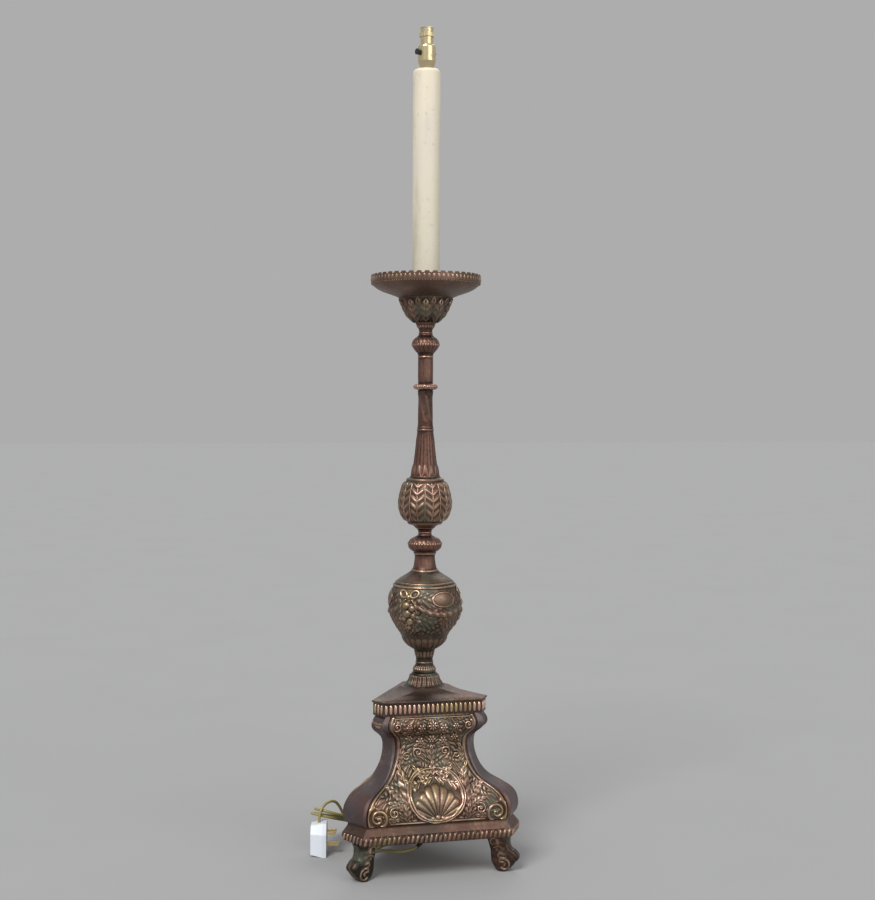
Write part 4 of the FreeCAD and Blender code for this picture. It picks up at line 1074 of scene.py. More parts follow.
@dataclass
class Plinth:
    """The three-sided plinth: chased panels, smooth corner straps, gadrooned board and feet."""

    rows: int = 280
    columns: int = 320
    sheet: float = 3.0
    inset: float = 0.05  # how far the panels stay inside their node's edges
    ring_height: float = 151.0
    ring_size: Spot = (50.0, 43.0)  # the half width and half height of the frame round the shell

    def from_ring(self, x: Array, z: Array) -> Array:
        """How far a place is from the shell frame's middle, as a share of the frame."""
        return np.hypot(x / self.ring_size[0], (z - self.ring_height) / self.ring_size[1])

    def ornaments(self) -> list[Ornament]:
        """The panel's ornaments on its right half, in millimetres from its middle and the floor.

        Returns:
            The ornaments.
        """
        return [
            Volute((110.0, 118.0), 22.0, 2.0, 75.0, -1, 3.8, 3.6),
            Volute((67.0, 271.0), 9.0, 1.6, 60.0, -1, 2.0, 2.8),
            Volute((26.0, 221.0), 9.0, 1.5, -60.0, 1, 2.0, 2.6),
            Volute((80.0, 126.0), 9.5, 1.5, 100.0, -1, 2.0, 2.6),
            Volute((47.0, 214.0), 7.5, 1.4, 120.0, -1, 1.9, 2.4),
            Rosette((0.0, 271.0), 9.5, 8, 3.2),
            Rosette((21.0, 267.0), 7.5, 6, 3.0),
            Rosette((0.0, 244.0), 8.5, 6, 3.0),
            Rosette((22.0, 241.0), 8.0, 6, 2.8),
            Rosette((43.0, 247.0), 7.5, 6, 2.8),
            Rosette((44.0, 269.0), 6.5, 6, 2.8),
            Berry((0.0, 114.0), 5.6, 4.2),
            Berry((9.5, 112.0), 5.0, 3.8),
            Leaf((4.0, 184.0), (38.0, 199.0), 11.0, 4.0, -0.22, 5.0),
            Leaf((2.0, 176.0), (30.0, 184.0), 8.0, 4.0, -0.25, 4.6),
            Leaf((24.0, 172.0), (55.0, 176.0), 9.0, 4.0, -0.25, 4.4),
            Leaf((0.0, 180.0), (0.0, 207.0), 8.0, 3.0, 0.0, 4.6),
            Leaf((0.0, 206.0), (0.0, 234.0), 8.0, 3.0, 0.0, 2.8),
            Leaf((58.0, 128.0), (66.0, 204.0), 13.0, 6.0, 0.08, 4.0),
            Leaf((62.0, 142.0), (94.0, 168.0), 10.0, 5.0, 0.12, 3.6),
            Leaf((64.0, 130.0), (92.0, 144.0), 8.0, 4.0, 0.12, 3.2),
            Leaf((58.0, 110.0), (61.0, 138.0), 8.0, 3.0, 0.1, 3.2),
            Leaf((92.0, 112.0), (70.0, 114.0), 7.0, 3.0, 0.0, 2.4),
            Leaf((56.0, 200.0), (50.0, 236.0), 8.0, 4.0, -0.12, 3.0),
            Leaf((34.0, 256.0), (58.0, 258.0), 5.5, 3.0, 0.1, 2.6),
            Leaf((10.0, 256.0), (33.0, 256.0), 5.0, 3.0, 0.15, 2.4),
            Leaf((10.0, 228.0), (34.0, 232.0), 5.0, 3.0, 0.15, 2.4),
        ]

    def shell(self, x: Array, z: Array) -> Array:
        """The scallop shell and the scrolled frame round it.

        Args:
            x: places across the field, in millimetres.
            z: heights above the floor, in millimetres.

        Returns:
            The relief at each place, in millimetres.
        """
        dz = z - 110.0
        angle = np.arctan2(x, np.maximum(dz, 0.01))
        distance = np.hypot(x, dz)
        ribs = np.abs(np.cos(10.6 * angle)) ** 0.55
        rim = 55.0 + 3.0 * ribs - 7.0 * np.abs(angle)
        inside = (np.abs(angle) < 1.33) & (distance < rim) & (distance > 6.0)
        fan = (0.5 + 3.2 * ribs) * np.clip(distance / 50.0, 0.12, 1.0) ** 0.7
        fan = fan * np.clip((rim - distance) / 5.0, 0.0, 1.0) ** 0.5
        bearing = np.arctan2(z - self.ring_height, x)
        around = (self.from_ring(x, z) - 1.0) * 46.0
        swell = 5.2 + 1.1 * np.cos(11.0 * bearing)
        ridge = 4.8 * bump_profile(around, swell) * (1.0 - 0.45 * np.exp(-((around - 0.5) / 1.2) ** 2))
        return np.maximum(np.where(inside & (around < -2.0), fan, 0.0), ridge * (z < 192.0))

    @staticmethod
    def vines(x: Array, z: Array) -> Array:
        """Low scrolling stems and leaf tips that fill the ground between the ornaments.

        Args:
            x: places across the field, in millimetres.
            z: heights above the floor, in millimetres.

        Returns:
            The relief at each place, in millimetres.
        """
        warped_x = x + 5.0 * np.sin(z / 7.5) + 2.5 * np.sin(x / 4.1 + z / 9.3)
        warped_z = z + 5.0 * np.cos(x / 8.5) + 2.0 * np.sin(z / 5.3 - x / 6.1)
        weave = np.abs(np.sin(warped_x / 2.7) * np.sin(warped_z / 2.9))
        return 1.9 * np.clip(weave - 0.22, 0.0, 1.0) ** 0.8

    def height(self, x: Array, z: Array, half: Array) -> Array:
        """The panel's whole relief, in millimetres.

        Args:
            x: places across the field, in millimetres.
            z: heights above the floor, in millimetres.
            half: the panel's half width there, in millimetres.

        Returns:
            The relief at each place, in millimetres.
        """
        side = np.abs(x)
        edge = half - side
        border = 3.2 * bump_profile(edge - 4.6, 3.4) * (z > 136.0) * (z < 288.0)
        outer = 1.4 * bump_profile(edge - 10.5, 1.5) * (z > 141.0) * (z < 284.0)
        line = 2.2 * bump_profile(z - 107.0, 1.6) * (side < 88.0)
        top = 1.8 * bump_profile(z - 285.0, 1.6)
        outside = self.from_ring(x, z) > 1.0
        ground = self.vines(side, z) * outside * (edge > 9.0) * (z > 109.0) * (z < 283.0)
        relief = np.maximum.reduce([border, outer, line, top, ground,
                                    raise_all(side, z, self.ornaments()), self.shell(x, z)])
        return relief * np.clip(edge / 1.5, 0.0, 1.0)

    def panel(self, node: str, turn: float, book: FinishBook) -> bpy.types.Object:
        """One chased panel.

        Args:
            node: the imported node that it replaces.
            turn: degrees from the front panel.
            book: the lamp's materials.

        Returns:
            The panel as a closed mesh.
        """
        caliper = Caliper("panel_front")
        inset = self.inset * MM
        low, high = caliper.low.z + inset, caliper.high.z - inset
        heights = np.linspace(low, high, self.rows)
        faces_at = np.array([self.face_distance(caliper, float(z)) for z in heights])
        half = np.array([self.half_width(caliper, float(z), y) for z, y in zip(heights, faces_at)])
        share = np.linspace(-1.0, 1.0, self.columns)
        x = share[None, :] * half[:, None]
        z = np.repeat(heights[:, None], self.columns, 1)
        raised = self.height(x / MM, z / MM, half[:, None] / MM)
        raised[0] = raised[-1] = 0.0
        slope = np.gradient(faces_at, heights)[:, None]
        steep = np.sqrt(1.0 + slope ** 2)
        y = -(faces_at[:, None] + raised * MM / steep)
        level = np.clip(z - raised * MM * slope / steep, low, high)
        front = np.stack([x, y, level], -1).reshape(-1, 3)
        back_left = np.stack([-half, -(faces_at - self.sheet * MM), heights], -1)
        back_right = np.stack([half, -(faces_at - self.sheet * MM), heights], -1)
        points = np.vstack([front, back_left, back_right])
        faces = self.closed_faces()
        mask = np.concatenate([relief_mask(raised, False).ravel(), np.full(2 * self.rows, 0.3)])
        co, si = math.cos(math.radians(turn)), math.sin(math.radians(turn))
        spin = np.array([[co, si, 0.0], [-si, co, 0.0], [0.0, 0.0, 1.0]])
        piece = new_piece(f"chased_{node}", points @ spin, faces, book.materials[Finish.CHASED], mask)
        return settle(piece, Finish.CHASED, node)

    @staticmethod
    def face_distance(caliper: Caliper, height: float) -> float:
        """The front panel's distance from the stem at a height."""
        hit = caliper.tree.ray_cast(Vector((0.004, -0.5, height)), Vector((0.0, 1.0, 0.0)))[0]
        return -hit.y

    def half_width(self, caliper: Caliper, height: float, face_at: float) -> float:
        """The front panel's half width at a height, just behind its face.

        Args:
            caliper: the caliper on the front panel.
            height: the height to measure at, in metres.
            face_at: the face's distance from the stem there, in metres.

        Returns:
            The distance, in metres.
        """
        start = Vector((0.5, -(face_at - 1.0 * MM), height))
        hit = caliper.tree.ray_cast(start, Vector((-1.0, 0.0, 0.0)))[0]
        return hit.x - self.inset * MM

    def closed_faces(self) -> Faces:
        """Faces of the front grid, its sides, its back and its two ends.

        Returns:
            The faces, as tuples of point numbers.
        """
        faces = grid_faces(self.rows, self.columns, False)
        left = self.rows * self.columns
        right = left + self.rows
        for row in range(self.rows - 1):
            start = row * self.columns
            above = start + self.columns
            end = start + self.columns - 1
            faces.append((start, above, left + row + 1, left + row))
            faces.append((above + self.columns - 1, end, right + row, right + row + 1))
            faces.append((left + row, left + row + 1, right + row + 1, right + row))
        top = (self.rows - 1) * self.columns
        faces.append((*range(self.columns - 1, -1, -1), left, right))
        faces.append((*range(top, top + self.columns), right + self.rows - 1, left + self.rows - 1))
        return faces

    def build(self, book: FinishBook) -> None:
        """Make and dress the whole plinth.

        Args:
            book: the lamp's materials.
        """
        for node, turn in (("panel_front", 0.0), ("panel_right", 120.0), ("panel_left", 240.0)):
            self.panel(node, turn, book)
        book.paint(Finish.SMOOTH, "corner_strap_left", "corner_strap_right", "corner_strap_back")
        book.paint(Finish.TURNED, "base_moulding", "fluted_frieze", "cornice_lip", "plinth_roof")
        for node, turn in (("foot_left", 210.0), ("foot_right", 330.0), ("foot_back", 90.0)):
            ScrollFoot(node, turn).build(book)
        gadroons = LobeRow("gadroon_row", 8.6, (3.1, 2.6, 7.6), 16.0)
        gadroons.build(gadroons.round_plinth("base_moulding", 78.0), book)
        flutes = LobeRow("frieze_flutes", 8.8, (3.1, 1.9, 8.8), crest=0.85)
        flutes.build(flutes.round_plinth("fluted_frieze", 302.5), book)
        book.paint(Finish.WOOD, "plinth_core", "base_board", "cornice_block")
        book.paint(Finish.STEEL, "foot_studs")


# --- stem ----------------------------------------------------------------------------------------
def lobes(turn: Array, count: int, twist: Array | float = 0.0) -> Array:
    """Round lobes side by side round the stem, from 0 between them to 1 on each."""
    return np.abs(np.cos(0.5 * count * turn + twist)) ** 0.7


def band(z: Array, middle: float, half_width: float) -> Array:
    """A rounded ring at a height."""
    return bump_profile(z - middle, half_width)


def window(z: Array, low: float, high: float, soft: float = 2.0) -> Array:
    """1 between two heights and 0 outside them, with soft ends."""
    return np.clip((z - low) / soft, 0.0, 1.0) * np.clip((high - z) / soft, 0.0, 1.0)


@dataclass
class Stem:
    """The turned stem with its vase, knops, leaf bulb, taper and calyx."""

    bow_turn: float = -27.0  # degrees from the camera's side to a bow on the vase
    repeats: int = 3
    vase_radius: float = 62.0

    @staticmethod
    def fruit() -> list[Ornament]:
        """The fruit and leaves that hang from a bow, in millimetres from its middle and the floor.

        Returns:
            The ornaments.
        """
        return [
            Berry((0.0, 505.0), 5.0, 4.0), Berry((-4.0, 489.0), 7.5, 5.0), Berry((7.0, 484.0), 7.0, 4.6),
            Berry((-2.0, 474.0), 8.0, 5.2), Berry((9.0, 470.0), 6.0, 4.0), Berry((-9.0, 465.0), 5.5, 3.6),
            Berry((2.0, 459.0), 7.0, 4.4), Berry((-3.0, 448.0), 5.0, 3.4), Berry((4.0, 442.0), 3.6, 2.4),
            Leaf((-6.0, 480.0), (-22.0, 462.0), 7.0, 3.0, 0.15, 3.2),
            Leaf((10.0, 478.0), (24.0, 458.0), 7.0, 3.0, -0.15, 3.2),
            Leaf((0.0, 462.0), (-14.0, 444.0), 6.0, 3.0, 0.1, 2.6),
            Leaf((4.0, 458.0), (18.0, 440.0), 6.0, 3.0, -0.1, 2.6),
        ]

    def vase(self, turn: Array, z: Array) -> Array:
        """Bows with hanging fruit, swags, smooth ovals, petals at the foot and lines at the shoulder.

        Args:
            turn: bearings from the camera's side, in radians.
            z: heights above the floor, in millimetres.

        Returns:
            The relief at each place, in millimetres.
        """
        radius = self.vase_radius
        sector = TURN / self.repeats
        local = np.mod(turn - math.radians(self.bow_turn) + sector / 2.0, sector) - sector / 2.0
        x = local * radius
        loop = np.abs(np.hypot((np.abs(x) - 11.0) / 1.25, z - 507.0 - 0.25 * np.abs(x)) - 6.0)
        bow = 3.2 * bump_profile(loop, 2.3)
        drop = 500.0 - z
        tails = 2.2 * bump_profile(np.abs(x) - 6.0 - 0.5 * drop - 2.0 * np.sin(drop / 5.0), 2.2)
        tails = tails * window(z, 474.0, 502.0)
        side = np.abs(np.mod(local, sector) - sector / 2.0) * radius
        sag = 498.0 - 26.0 * (1.0 - (side / (sector / 2.0 * radius)) ** 2)
        swag = (2.6 + 0.9 * np.cos(side / 2.1)) * bump_profile(z - sag, 5.0) * (side < 52.0)
        oval = np.hypot(side / 19.0, (z - 500.0) / 11.5)
        medal = np.where(oval < 1.0, 1.6 + 1.4 * (1.0 - oval ** 2), 0.0)
        medal = np.maximum(medal, 2.4 * bump_profile((oval - 1.12) * 13.0, 1.5))
        tips = 4.0 * lobes(turn, 22)
        petals = 2.4 * lobes(turn, 22) * bump_profile(z - 410.0 - tips, 11.0) * (z < 430.0)
        shoulder = 2.2 * band(z, 521.0, 2.2) + 1.2 * band(z, 527.0, 1.4)
        weave = np.abs(np.sin(x / 3.1 + 1.6 * np.sin(z / 6.0)) * np.sin(z / 3.3 + 1.4 * np.cos(x / 7.0)))
        leaves = 1.7 * np.clip(weave - 0.25, 0.0, 1.0) ** 0.8
        leaves = leaves * window(z, 432.0, 517.0, 6.0) * (oval > 1.2)
        hanging = raise_all(x, z, self.fruit())
        return np.maximum.reduce([bow, tails, hanging, swag, medal, petals, shoulder, leaves])

    def bulb(self, turn: Array, z: Array) -> Array:
        """Upright columns of chevron leaves between ribs.

        Args:
            turn: bearings from the camera's side, in radians.
            z: heights above the floor, in millimetres.

        Returns:
            The relief at each place, in millimetres.
        """
        count = 10
        local = np.mod(turn * count / TURN, 1.0) - 0.5
        side = np.abs(local) * 2.0
        chevrons = 0.5 + 0.5 * np.cos(TURN * ((z - 640.0) / 13.0 - side * 0.8))
        leaf = (1.0 + 2.4 * chevrons ** 0.8) * np.clip(1.0 - side ** 2, 0.0, 1.0) ** 0.4
        rib = 2.2 * bump_profile(side, 0.13) + 1.6 * bump_profile(1.0 - side, 0.09)
        body = np.maximum(leaf, rib + 1.0) * window(z, 640.0, 716.0, 5.0)
        ends = 2.0 * band(z, 637.0, 2.4) + 1.8 * band(z, 719.0, 2.2)
        return np.maximum(body, ends)

    def collar(self, turn: Array, z: Array) -> Array:
        """Stiff leaves standing round the foot of the stem.

        Args:
            turn: bearings from the camera's side, in radians.
            z: heights above the floor, in millimetres.

        Returns:
            The relief at each place, in millimetres.
        """
        leaf = lobes(turn, 20)
        groove = 1.0 - 0.3 * np.exp(-((leaf - 1.0) / 0.05) ** 2)
        return (0.6 + 2.6 * leaf) * window(z, 334.0, 354.0, 3.0) * groove

    def socle(self, turn: Array, z: Array) -> Array:
        """Lines and a beaded ring on the vase's foot.

        Args:
            turn: bearings from the camera's side, in radians.
            z: heights above the floor, in millimetres.

        Returns:
            The relief at each place, in millimetres.
        """
        beads = 1.6 * lobes(turn, 26) * band(z, 366.0, 4.0)
        leaves = 1.6 * lobes(turn, 16) * window(z, 384.0, 400.0, 5.0)
        return np.maximum.reduce([beads, leaves, 0.9 * band(z, 376.0, 1.2)])

    def neck(self, turn: Array, z: Array) -> Array:
        """Flutes up the vase's neck with a ring at each end."""
        flutes = 0.5 * lobes(turn, 8) * window(z, 552.0, 576.0, 8.0)
        return np.maximum.reduce([flutes, 1.0 * band(z, 549.0, 1.6), 1.2 * band(z, 580.0, 1.8)])

    def knop(self, low: float, high: float, count: int) -> Relief:
        """The relief of a gadrooned knop between two heights.

        Args:
            low: the lower end, in millimetres.
            high: the upper end, in millimetres.
            count: how many lobes go round.

        Returns:
            The relief's function.
        """

        def relief(turn: Array, z: Array) -> Array:
            """Twisted gadroons over the knop, with a bead line at its waist.

            Args:
                turn: bearings from the camera's side, in radians.
                z: heights above the floor, in millimetres.

            Returns:
                The relief at each place, in millimetres.
            """
            middle = (low + high) / 2.0
            half = (high - low) / 2.0
            twist = 0.9 * (z - middle) / half
            body = 0.9 * lobes(turn, count, twist) * window(z, low + 3.0, high - 3.0, 3.0)
            beads = 1.8 * lobes(turn, 2 * count) * band(z, middle, 2.6)
            return np.maximum(body, beads)

        return relief

    def spool(self, turn: Array, z: Array) -> Array:
        """Fine rings on the spool under the bulb."""
        return np.maximum(0.8 * band(z, 619.0, 1.3), 0.8 * band(z, 628.0, 1.3))

    def taper(self, turn: Array, z: Array) -> Array:
        """Reeds on the lower half, overlapping leaves round the foot and plain metal above.

        Args:
            turn: bearings from the camera's side, in radians.
            z: heights above the floor, in millimetres.

        Returns:
            The relief at each place, in millimetres.
        """
        reeds = 0.9 * lobes(turn, 18) * window(z, 728.0, 806.0, 12.0)
        tips = 8.0 * lobes(turn, 12)
        leaves = 2.2 * lobes(turn, 12) * bump_profile(z - 730.0 - tips, 10.0) * (z < 750.0)
        rings = np.maximum(1.2 * band(z, 812.0, 1.8), 0.8 * band(z, 817.0, 1.0))
        twigs = 0.9 * lobes(turn, 6, 0.055 * (z - 820.0)) ** 6 * window(z, 824.0, 878.0, 6.0)
        return np.maximum.reduce([reeds, leaves, rings, twigs])

    def column(self, turn: Array, z: Array) -> Array:
        """Reeds up the short column under the upper knop."""
        reeds = 0.5 * lobes(turn, 10) * window(z, 905.0, 946.0, 8.0)
        return np.maximum(reeds, 1.0 * band(z, 949.0, 1.5))

    def cup_neck(self, turn: Array, z: Array) -> Array:
        """Rings under the calyx."""
        return np.maximum(0.9 * band(z, 994.0, 1.5), 1.1 * lobes(turn, 20) * band(z, 1006.0, 3.0))

    def calyx(self, turn: Array, z: Array) -> Array:
        """Pointed acanthus petals that rise round the cup under the pan.

        Args:
            turn: bearings from the camera's side, in radians.
            z: heights above the floor, in millimetres.

        Returns:
            The relief at each place, in millimetres.
        """
        radius, count = 34.0, 10
        sector = TURN / count
        near = np.mod(turn + sector / 2.0, sector) - sector / 2.0
        far = np.mod(turn, sector) - sector / 2.0
        front = Leaf((0.0, 1014.0), (0.0, 1056.0), 11.0, 4.0, 0.0, 3.4).height(near * radius, z)
        behind = Leaf((0.0, 1022.0), (0.0, 1059.0), 8.0, 3.0, 0.0, 2.0).height(far * radius, z)
        return np.maximum(front, behind)

    def build(self, book: FinishBook) -> None:
        """Make every piece of the stem.

        Args:
            book: the lamp's materials.
        """
        chased, ruddy = Finish.CHASED, Finish.RUDDY
        pieces = (
            TurnedPiece("leaf_collar", self.collar, 40, 320, chased, 0.3),
            TurnedPiece("vase_foot", self.socle, 60, 260, chased, 0.12),
            TurnedPiece("vase_body", self.vase, 220, 500, chased),
            TurnedPiece("vase_neck", self.neck, 50, 260, ruddy),
            TurnedPiece("lower_knop", self.knop(584.5, 613.5, 18), 60, 320, ruddy, 0.1),
            TurnedPiece("bulb_spool", self.spool, 40, 160, ruddy),
            TurnedPiece("leaf_bulb", self.bulb, 150, 420, chased, 0.1),
            TurnedPiece("tapered_stem", self.taper, 180, 260, ruddy, 0.05),
            TurnedPiece("ring_knop", self.knop(884.5, 901.5, 16), 40, 260, ruddy),
            TurnedPiece("upper_column", self.column, 70, 220, ruddy),
            TurnedPiece("upper_knop", self.knop(953.5, 989.5, 16), 60, 280, ruddy, 0.05),
            TurnedPiece("cup_neck", self.cup_neck, 40, 200, ruddy),
            TurnedPiece("calyx_cup", self.calyx, 90, 420, chased, 0.12),
        )
        for piece in pieces:
            piece.build(book)
        book.paint(Finish.COVE, "drip_pan", "pan_crown")
        arches = LobeRow("crown_arches", 9.0, (2.7, 1.3, 4.6), crest=0.62)
        arches.build(arches.round_stem("pan_crown", 1093.5), book)
        rim_beads = LobeRow("rim_beads", 5.0, (2.0, 1.5, 1.7), crest=0.5)
        rim_beads.build(rim_beads.round_stem("drip_pan", 1086.0), book)
        book.paint(Finish.STEEL, "stem_tube", "base_washer", "base_nut")
        book.paint(Finish.WOOD, "sleeve_seat")
        book.paint(Finish.CARD, "candle_sleeve")
        book.paint(Finish.BLACK, "sleeve_collar")


# --- lampholder ----------------------------------------------------------------------------------
@dataclass
class Lampholder:
    """The bayonet holder with its press bar, shade ring and contacts."""

    brass: tuple[str, ...] = ("holder_cap", "holder_body", "holder_barrel", "shade_ring")
    black: tuple[str, ...] = ("switch_bar", "switch_block", "holder_insert", "cord_gland")

    def build(self, book: FinishBook) -> None:
        """Dress the holder's nodes.

        Args:
            book: the lamp's materials.
        """
        book.paint(Finish.HOLDER, *self.brass)
        book.paint(Finish.BLACK, *self.black)
        book.paint(Finish.CONTACT, "contact_plunger_left", "contact_plunger_right")
        book.paint(Finish.STEEL, "plunger_spring_left", "plunger_spring_right")
        book.paint(Finish.FLEX, "inner_flex")


# --- lead and plug -------------------------------------------------------------------------------
@dataclass
class Hank:
    """The folded turns of the lead, drawn together at the tie and fanned out at the raised end."""

    middle: Point = (-110.2, 160.1, 41.0)
    heading: float = 38.2  # degrees from the X axis
    slope: float = 19.3  # degrees that the turns fall towards the tie
    pitch: float = 6.1
    inner: float = 16.4
    run: float = 142.0
    loops: int = 2
    fan_reach: float = 4.0
    fan_rise: float = 3.6
    fan_run: float = 130.0
    tie_place: float = 34.0
    fold_step: float = 36.0  # degrees between the five points of a half turn

    @property
    def corner(self) -> float:
        """The slope of a half turn's last chord, which sets where a run ends."""
        return math.tan(math.radians(self.fold_step / 2.0))

    def point(self, along: float, across: float, up: float) -> Point:
        """A place in the hank, in millimetres.

        Args:
            along: the place along it.
            across: the place across it, in millimetres.
            up: the layer's height over the middle.

        Returns:
            The place.
        """
        heading, slope = math.radians(self.heading), math.radians(self.slope)
        open_share = min(1.0, max(0.0, (self.tie_place - along) / self.fan_run)) ** 2
        if up > 0.0:
            up += self.fan_rise * open_share
        ahead_x, ahead_y = math.cos(heading), math.sin(heading)
        level, fall = math.cos(slope), math.sin(slope)
        run = Vector((ahead_x * level, ahead_y * level, -fall))
        side = Vector((ahead_y, -ahead_x, 0.0))
        rise = Vector((ahead_x * fall, ahead_y * fall, level))
        return tuple(Vector(self.middle) + run * along + side * across + rise * up)

    def fold(self, end: int, start: float, finish: float, up: float) -> list[Point]:
        """Five points round a half turn at one end.

        Args:
            end: 1 at the tie's end and -1 at the other.
            start: the side that it starts on.
            finish: the side that it ends on.
            up: the layer's height over the middle.

        Returns:
            The points, in millimetres.
        """
        centre, radius = (start + finish) / 2.0, abs(start - finish) / 2.0
        sense = 1.0 if start > finish else -1.0
        reach = self.fan_reach * (radius - self.inner) / self.pitch if end < 0 else 0.0
        points = []
        for number in (2, 1, 0, -1, -2):
            angle = math.radians(self.fold_step * number)
            out = radius / math.cos(math.radians(self.fold_step / 2.0))
            along = end * (self.run / 2.0 + out * math.cos(angle) + reach * math.cos(angle))
            points.append(self.point(along, centre + sense * out * math.sin(angle), up))
        return points

    def straight(self, start: int, across: float, up: float, down: float) -> list[Point]:
        """Three points along a run from one end to the other, which may change layer.

        Args:
            start: 1 or -1, the end it starts from.
            across: the place across it, in millimetres.
            up: the layer's height at the start.
            down: the layer's height at the far end.

        Returns:
            The points, in millimetres.
        """
        end = start * (self.run / 2.0 - abs(across) * self.corner)
        middle = (up + down) / 2.0
        return [self.point(end, across, up), self.point(0.0, across, middle), self.point(-end, across, down)]

    def points(self) -> list[Point]:
        """The hank's points from the plug's lead to the tail, in millimetres.

        Returns:
            The points, in millimetres.
        """
        top, low, side = self.pitch / 2.0, -self.pitch / 2.0, self.inner
        made = [self.point(self.run / 4.0, side, top)]
        made.append(self.point(self.run / 2.0 - side * self.corner, side, top))
        for _ in range(self.loops):
            made += self.fold(1, side, -side, top) + self.straight(1, -side, top, top)
            wider = side + self.pitch
            made += self.fold(-1, -side, wider, top) + self.straight(-1, wider, top, top)
            side = wider
        made += self.fold(1, side, -side, top) + self.straight(1, -side, top, low)
        for _ in range(self.loops - 1):
            closer = side - self.pitch
            made += self.fold(-1, -side, closer, low) + self.straight(-1, closer, low, low)
            made += self.fold(1, closer, -closer, low) + self.straight(1, -closer, low, low)
            side = closer
        made += self.fold(-1, -side, side - self.pitch, low)
        made.append(self.point(-self.run / 2.0 + side * self.corner, side - self.pitch, low))
        return made


@dataclass
class Lead:
    """The flex from the gland under the stem, round its hank and into the plug."""

    radius: float = 2.7
    exit_point: Point = (0.0, 0.0, 52.0)
    tail: tuple[Point, ...] = (
        (0.0, 0.0, 52.0), (0.0, 0.0, 44.0), (-8.0, -9.0, 36.0), (-26.9, -26.4, 32.0), (-56.5, -29.6, 30.0),
        (-82.3, -17.3, 33.0), (-101.0, 7.8, 20.0), (-103.0, 38.0, 7.0), (-90.0, 66.0, 3.2), (-69.0, 92.0, 3.0),
        (-49.0, 112.0, 3.0), (-42.0, 130.0, 3.2), (-46.0, 148.0, 4.5), (-60.0, 160.0, 9.0),
        (-78.0, 161.0, 16.8), (-93.3, 151.8, 28.5), (-106.8, 141.9, 40.8), (-119.4, 132.0, 46.4))
    lead: tuple[Point, ...] = (
        (-114.1, 136.2, 50.5), (-128.9, 124.5, 57.1), (-144.1, 114.4, 88.6), (-159.1, 104.5, 96.1),
        (-174.8, 94.1, 91.0), (-184.7, 87.5, 75.6), (-184.7, 87.5, 57.0))
    length: float = 2.22

    def build(self, book: FinishBook) -> bpy.types.Object:
        """Args:
            book: the lamp's materials.

        Returns:
            The piece.
        """
        points = list(self.tail) + Hank().points()[::-1] + list(self.lead)
        piece = new_tube("lamp_flex", points, self.radius, book.materials[Finish.FLEX])
        settle(piece, Finish.FLEX, "cord_tail", "cord_hank", "plug_lead")
        return piece


@dataclass
class StrainRelief:
    """The tapered rubber sleeve round the flex under the gland, in millimetres."""

    places: tuple[Point, ...] = ((0.0, 0.0, 52.0), (0.0, 0.0, 45.0), (-7.0, -7.9, 37.2), (-18.0, -18.4, 33.6))
    widths: tuple[float, ...] = (1.9, 1.75, 1.45, 1.2)
    radius: float = 2.9

    def build(self, book: FinishBook) -> bpy.types.Object:
        """Make the sleeve as a thicker curve on the flex's own line.

        Args:
            book: the lamp's materials.

        Returns:
            The piece.
        """
        rubber = book.materials[Finish.BLACK]
        piece = new_tube("strain_relief", list(self.places), self.radius, rubber, self.widths)
        return settle(piece, Finish.BLACK)


class Plug:
    """The plug on the end of the lead, standing on its edge with its pins to the right."""

    def build(self, book: FinishBook) -> None:
        """Dress the plug and the hank's tie.

        Args:
            book: the lamp's materials.
        """
        book.paint(Finish.WHITE, "plug_base", "plug_cover")
        book.paint(Finish.CONTACT, "plug_pins", "plug_fuse")
        book.paint(Finish.STEEL, "plug_screw")
        book.paint(Finish.TAPE, "hank_tie")


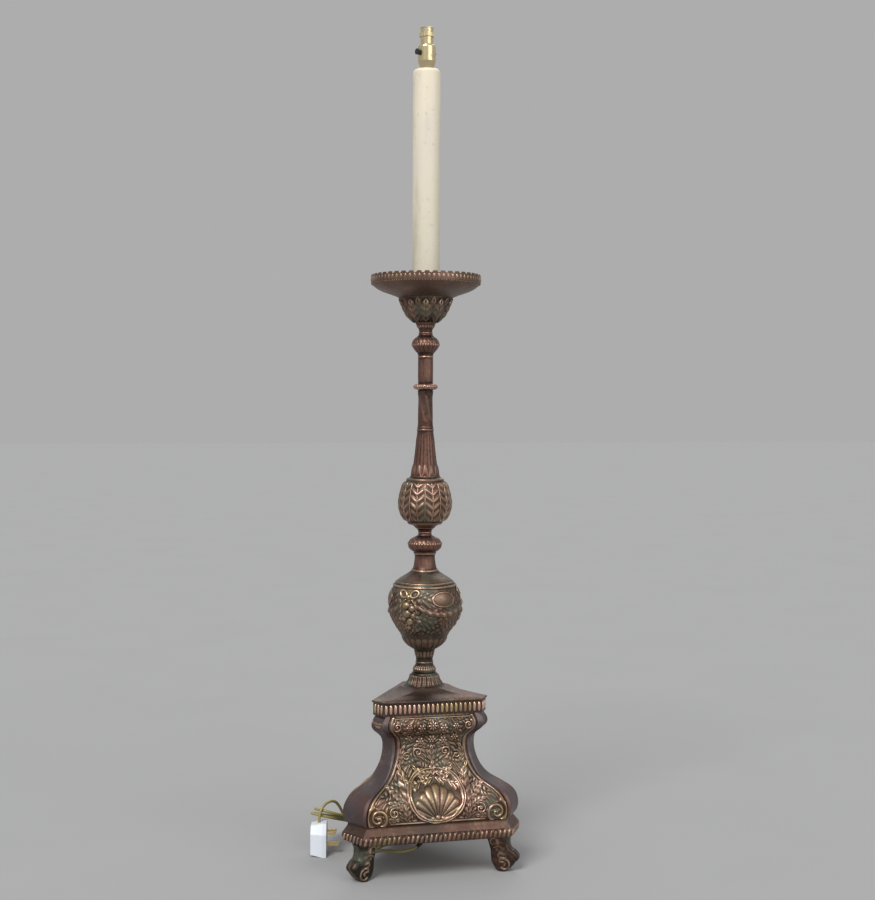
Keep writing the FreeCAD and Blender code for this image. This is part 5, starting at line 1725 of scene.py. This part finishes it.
# --- studio --------------------------------------------------------------------------------------
@dataclass
class Studio:
    """The camera at the photograph's place, the floor, the backdrop and soft lights."""

    width: int = 875
    height: int = 900
    focal: float = 1403.0  # pixels
    horizon: float = 407.0
    axis: float = 425.4  # the stem's column at the horizon
    roll: float = 0.233  # degrees that the camera leans to the left
    distance: float = 2.640
    eye: float = 0.855
    bearing: float = 13.5  # degrees that the camera stands to the left of the front panel
    sensor: float = 36.0
    backdrop: Tone = (0.418, 0.418, 0.418)
    floor_half: float = 30.0

    def camera(self) -> None:
        """Make the camera, level, with the small shift that the framing needs."""
        longest = max(self.width, self.height)
        data = bpy.data.cameras.new("camera")
        data.sensor_width = self.sensor
        data.lens = self.focal * self.sensor / longest
        data.shift_x = (self.width / 2.0 - self.axis) / longest
        data.shift_y = (self.horizon - self.height / 2.0) / longest
        data.clip_end = 50.0
        camera = add_object("camera", data)
        bearing = math.radians(self.bearing)
        back = Vector((-math.sin(bearing), -math.cos(bearing), 0.0))
        camera.location = back * self.distance + Vector((0.0, 0.0, self.eye))
        level = Matrix.Rotation(-bearing, 3, "Z") @ Matrix.Rotation(math.pi / 2.0, 3, "X")
        lean = Matrix.Rotation(math.radians(self.roll), 3, "Z")
        camera.rotation_euler = (level @ lean).to_euler()
        bpy.context.scene.camera = camera

    def floor(self) -> None:
        """Make the floor, which takes the lamp's shadow."""
        sheet = MaterialSheet("floor_paper")
        speck = sheet.mix(sheet.noise(3.0, 2.0), colour(0.335, 0.335, 0.335), colour(0.350, 0.350, 0.350))
        sheet.feed(sheet.shader.inputs["Base Color"], speck)
        sheet.shader.inputs["Roughness"].default_value = 1.0
        sheet.shader.inputs["Specular IOR Level"].default_value = 0.0
        half = self.floor_half
        corners = [(-half, -half, 0.0), (half, -half, 0.0), (half, half, 0.0), (-half, half, 0.0)]
        new_piece("floor", corners, [(0, 1, 2, 3)], sheet.material, None, False)

    def sky(self) -> None:
        """Make the world: soft grey light, and the backdrop's grey for what sees it."""
        world = bpy.data.worlds.new("studio")
        bpy.context.scene.world = world
        world.use_nodes = True
        world.node_tree.nodes.clear()
        sheet = NodeSheet(world.node_tree)
        seen = sheet.add("ShaderNodeLightPath").outputs["Is Camera Ray"]
        light = sheet.add("ShaderNodeBackground", Color=colour(0.50, 0.50, 0.51), Strength=1.0)
        back = sheet.add("ShaderNodeBackground", Color=colour(*self.backdrop), Strength=1.0)
        both = sheet.tree.nodes.new("ShaderNodeMixShader")
        sheet.feed(both.inputs[0], seen)
        sheet.feed(both.inputs[1], light.outputs[0])
        sheet.feed(both.inputs[2], back.outputs[0])
        sheet.add("ShaderNodeOutputWorld", Surface=both.outputs[0])

    def lamps(self) -> None:
        """Hang a large key from the left, a fill from the right and a rim from behind."""
        for name, strength, angle, bearing, rise in (
            ("key", 2.3, 24.0, -40.0, 46.0), ("fill", 0.9, 50.0, 30.0, 26.0), ("rim", 0.5, 30.0, 160.0, 40.0),
        ):
            data = bpy.data.lights.new(name, "SUN")
            data.energy = strength
            data.angle = math.radians(angle)
            lamp = add_object(name, data)
            lamp.rotation_euler = (math.radians(90.0 - rise), 0.0, math.radians(bearing))

    def build(self) -> None:
        """Set the stage."""
        self.camera()
        self.floor()
        self.sky()
        self.lamps()
        bpy.context.scene.view_settings.view_transform = "Standard"


def main() -> None:
    """Build the studio and the lamp, piece by piece."""
    logging.basicConfig(level=logging.INFO, format="%(name)s %(message)s")
    Studio().build()
    book = FinishBook()
    Lead().build(book)
    StrainRelief().build(book)
    Plug().build(book)
    Plinth().build(book)
    Stem().build(book)
    Lampholder().build(book)


if __name__ == "__main__":
    main()
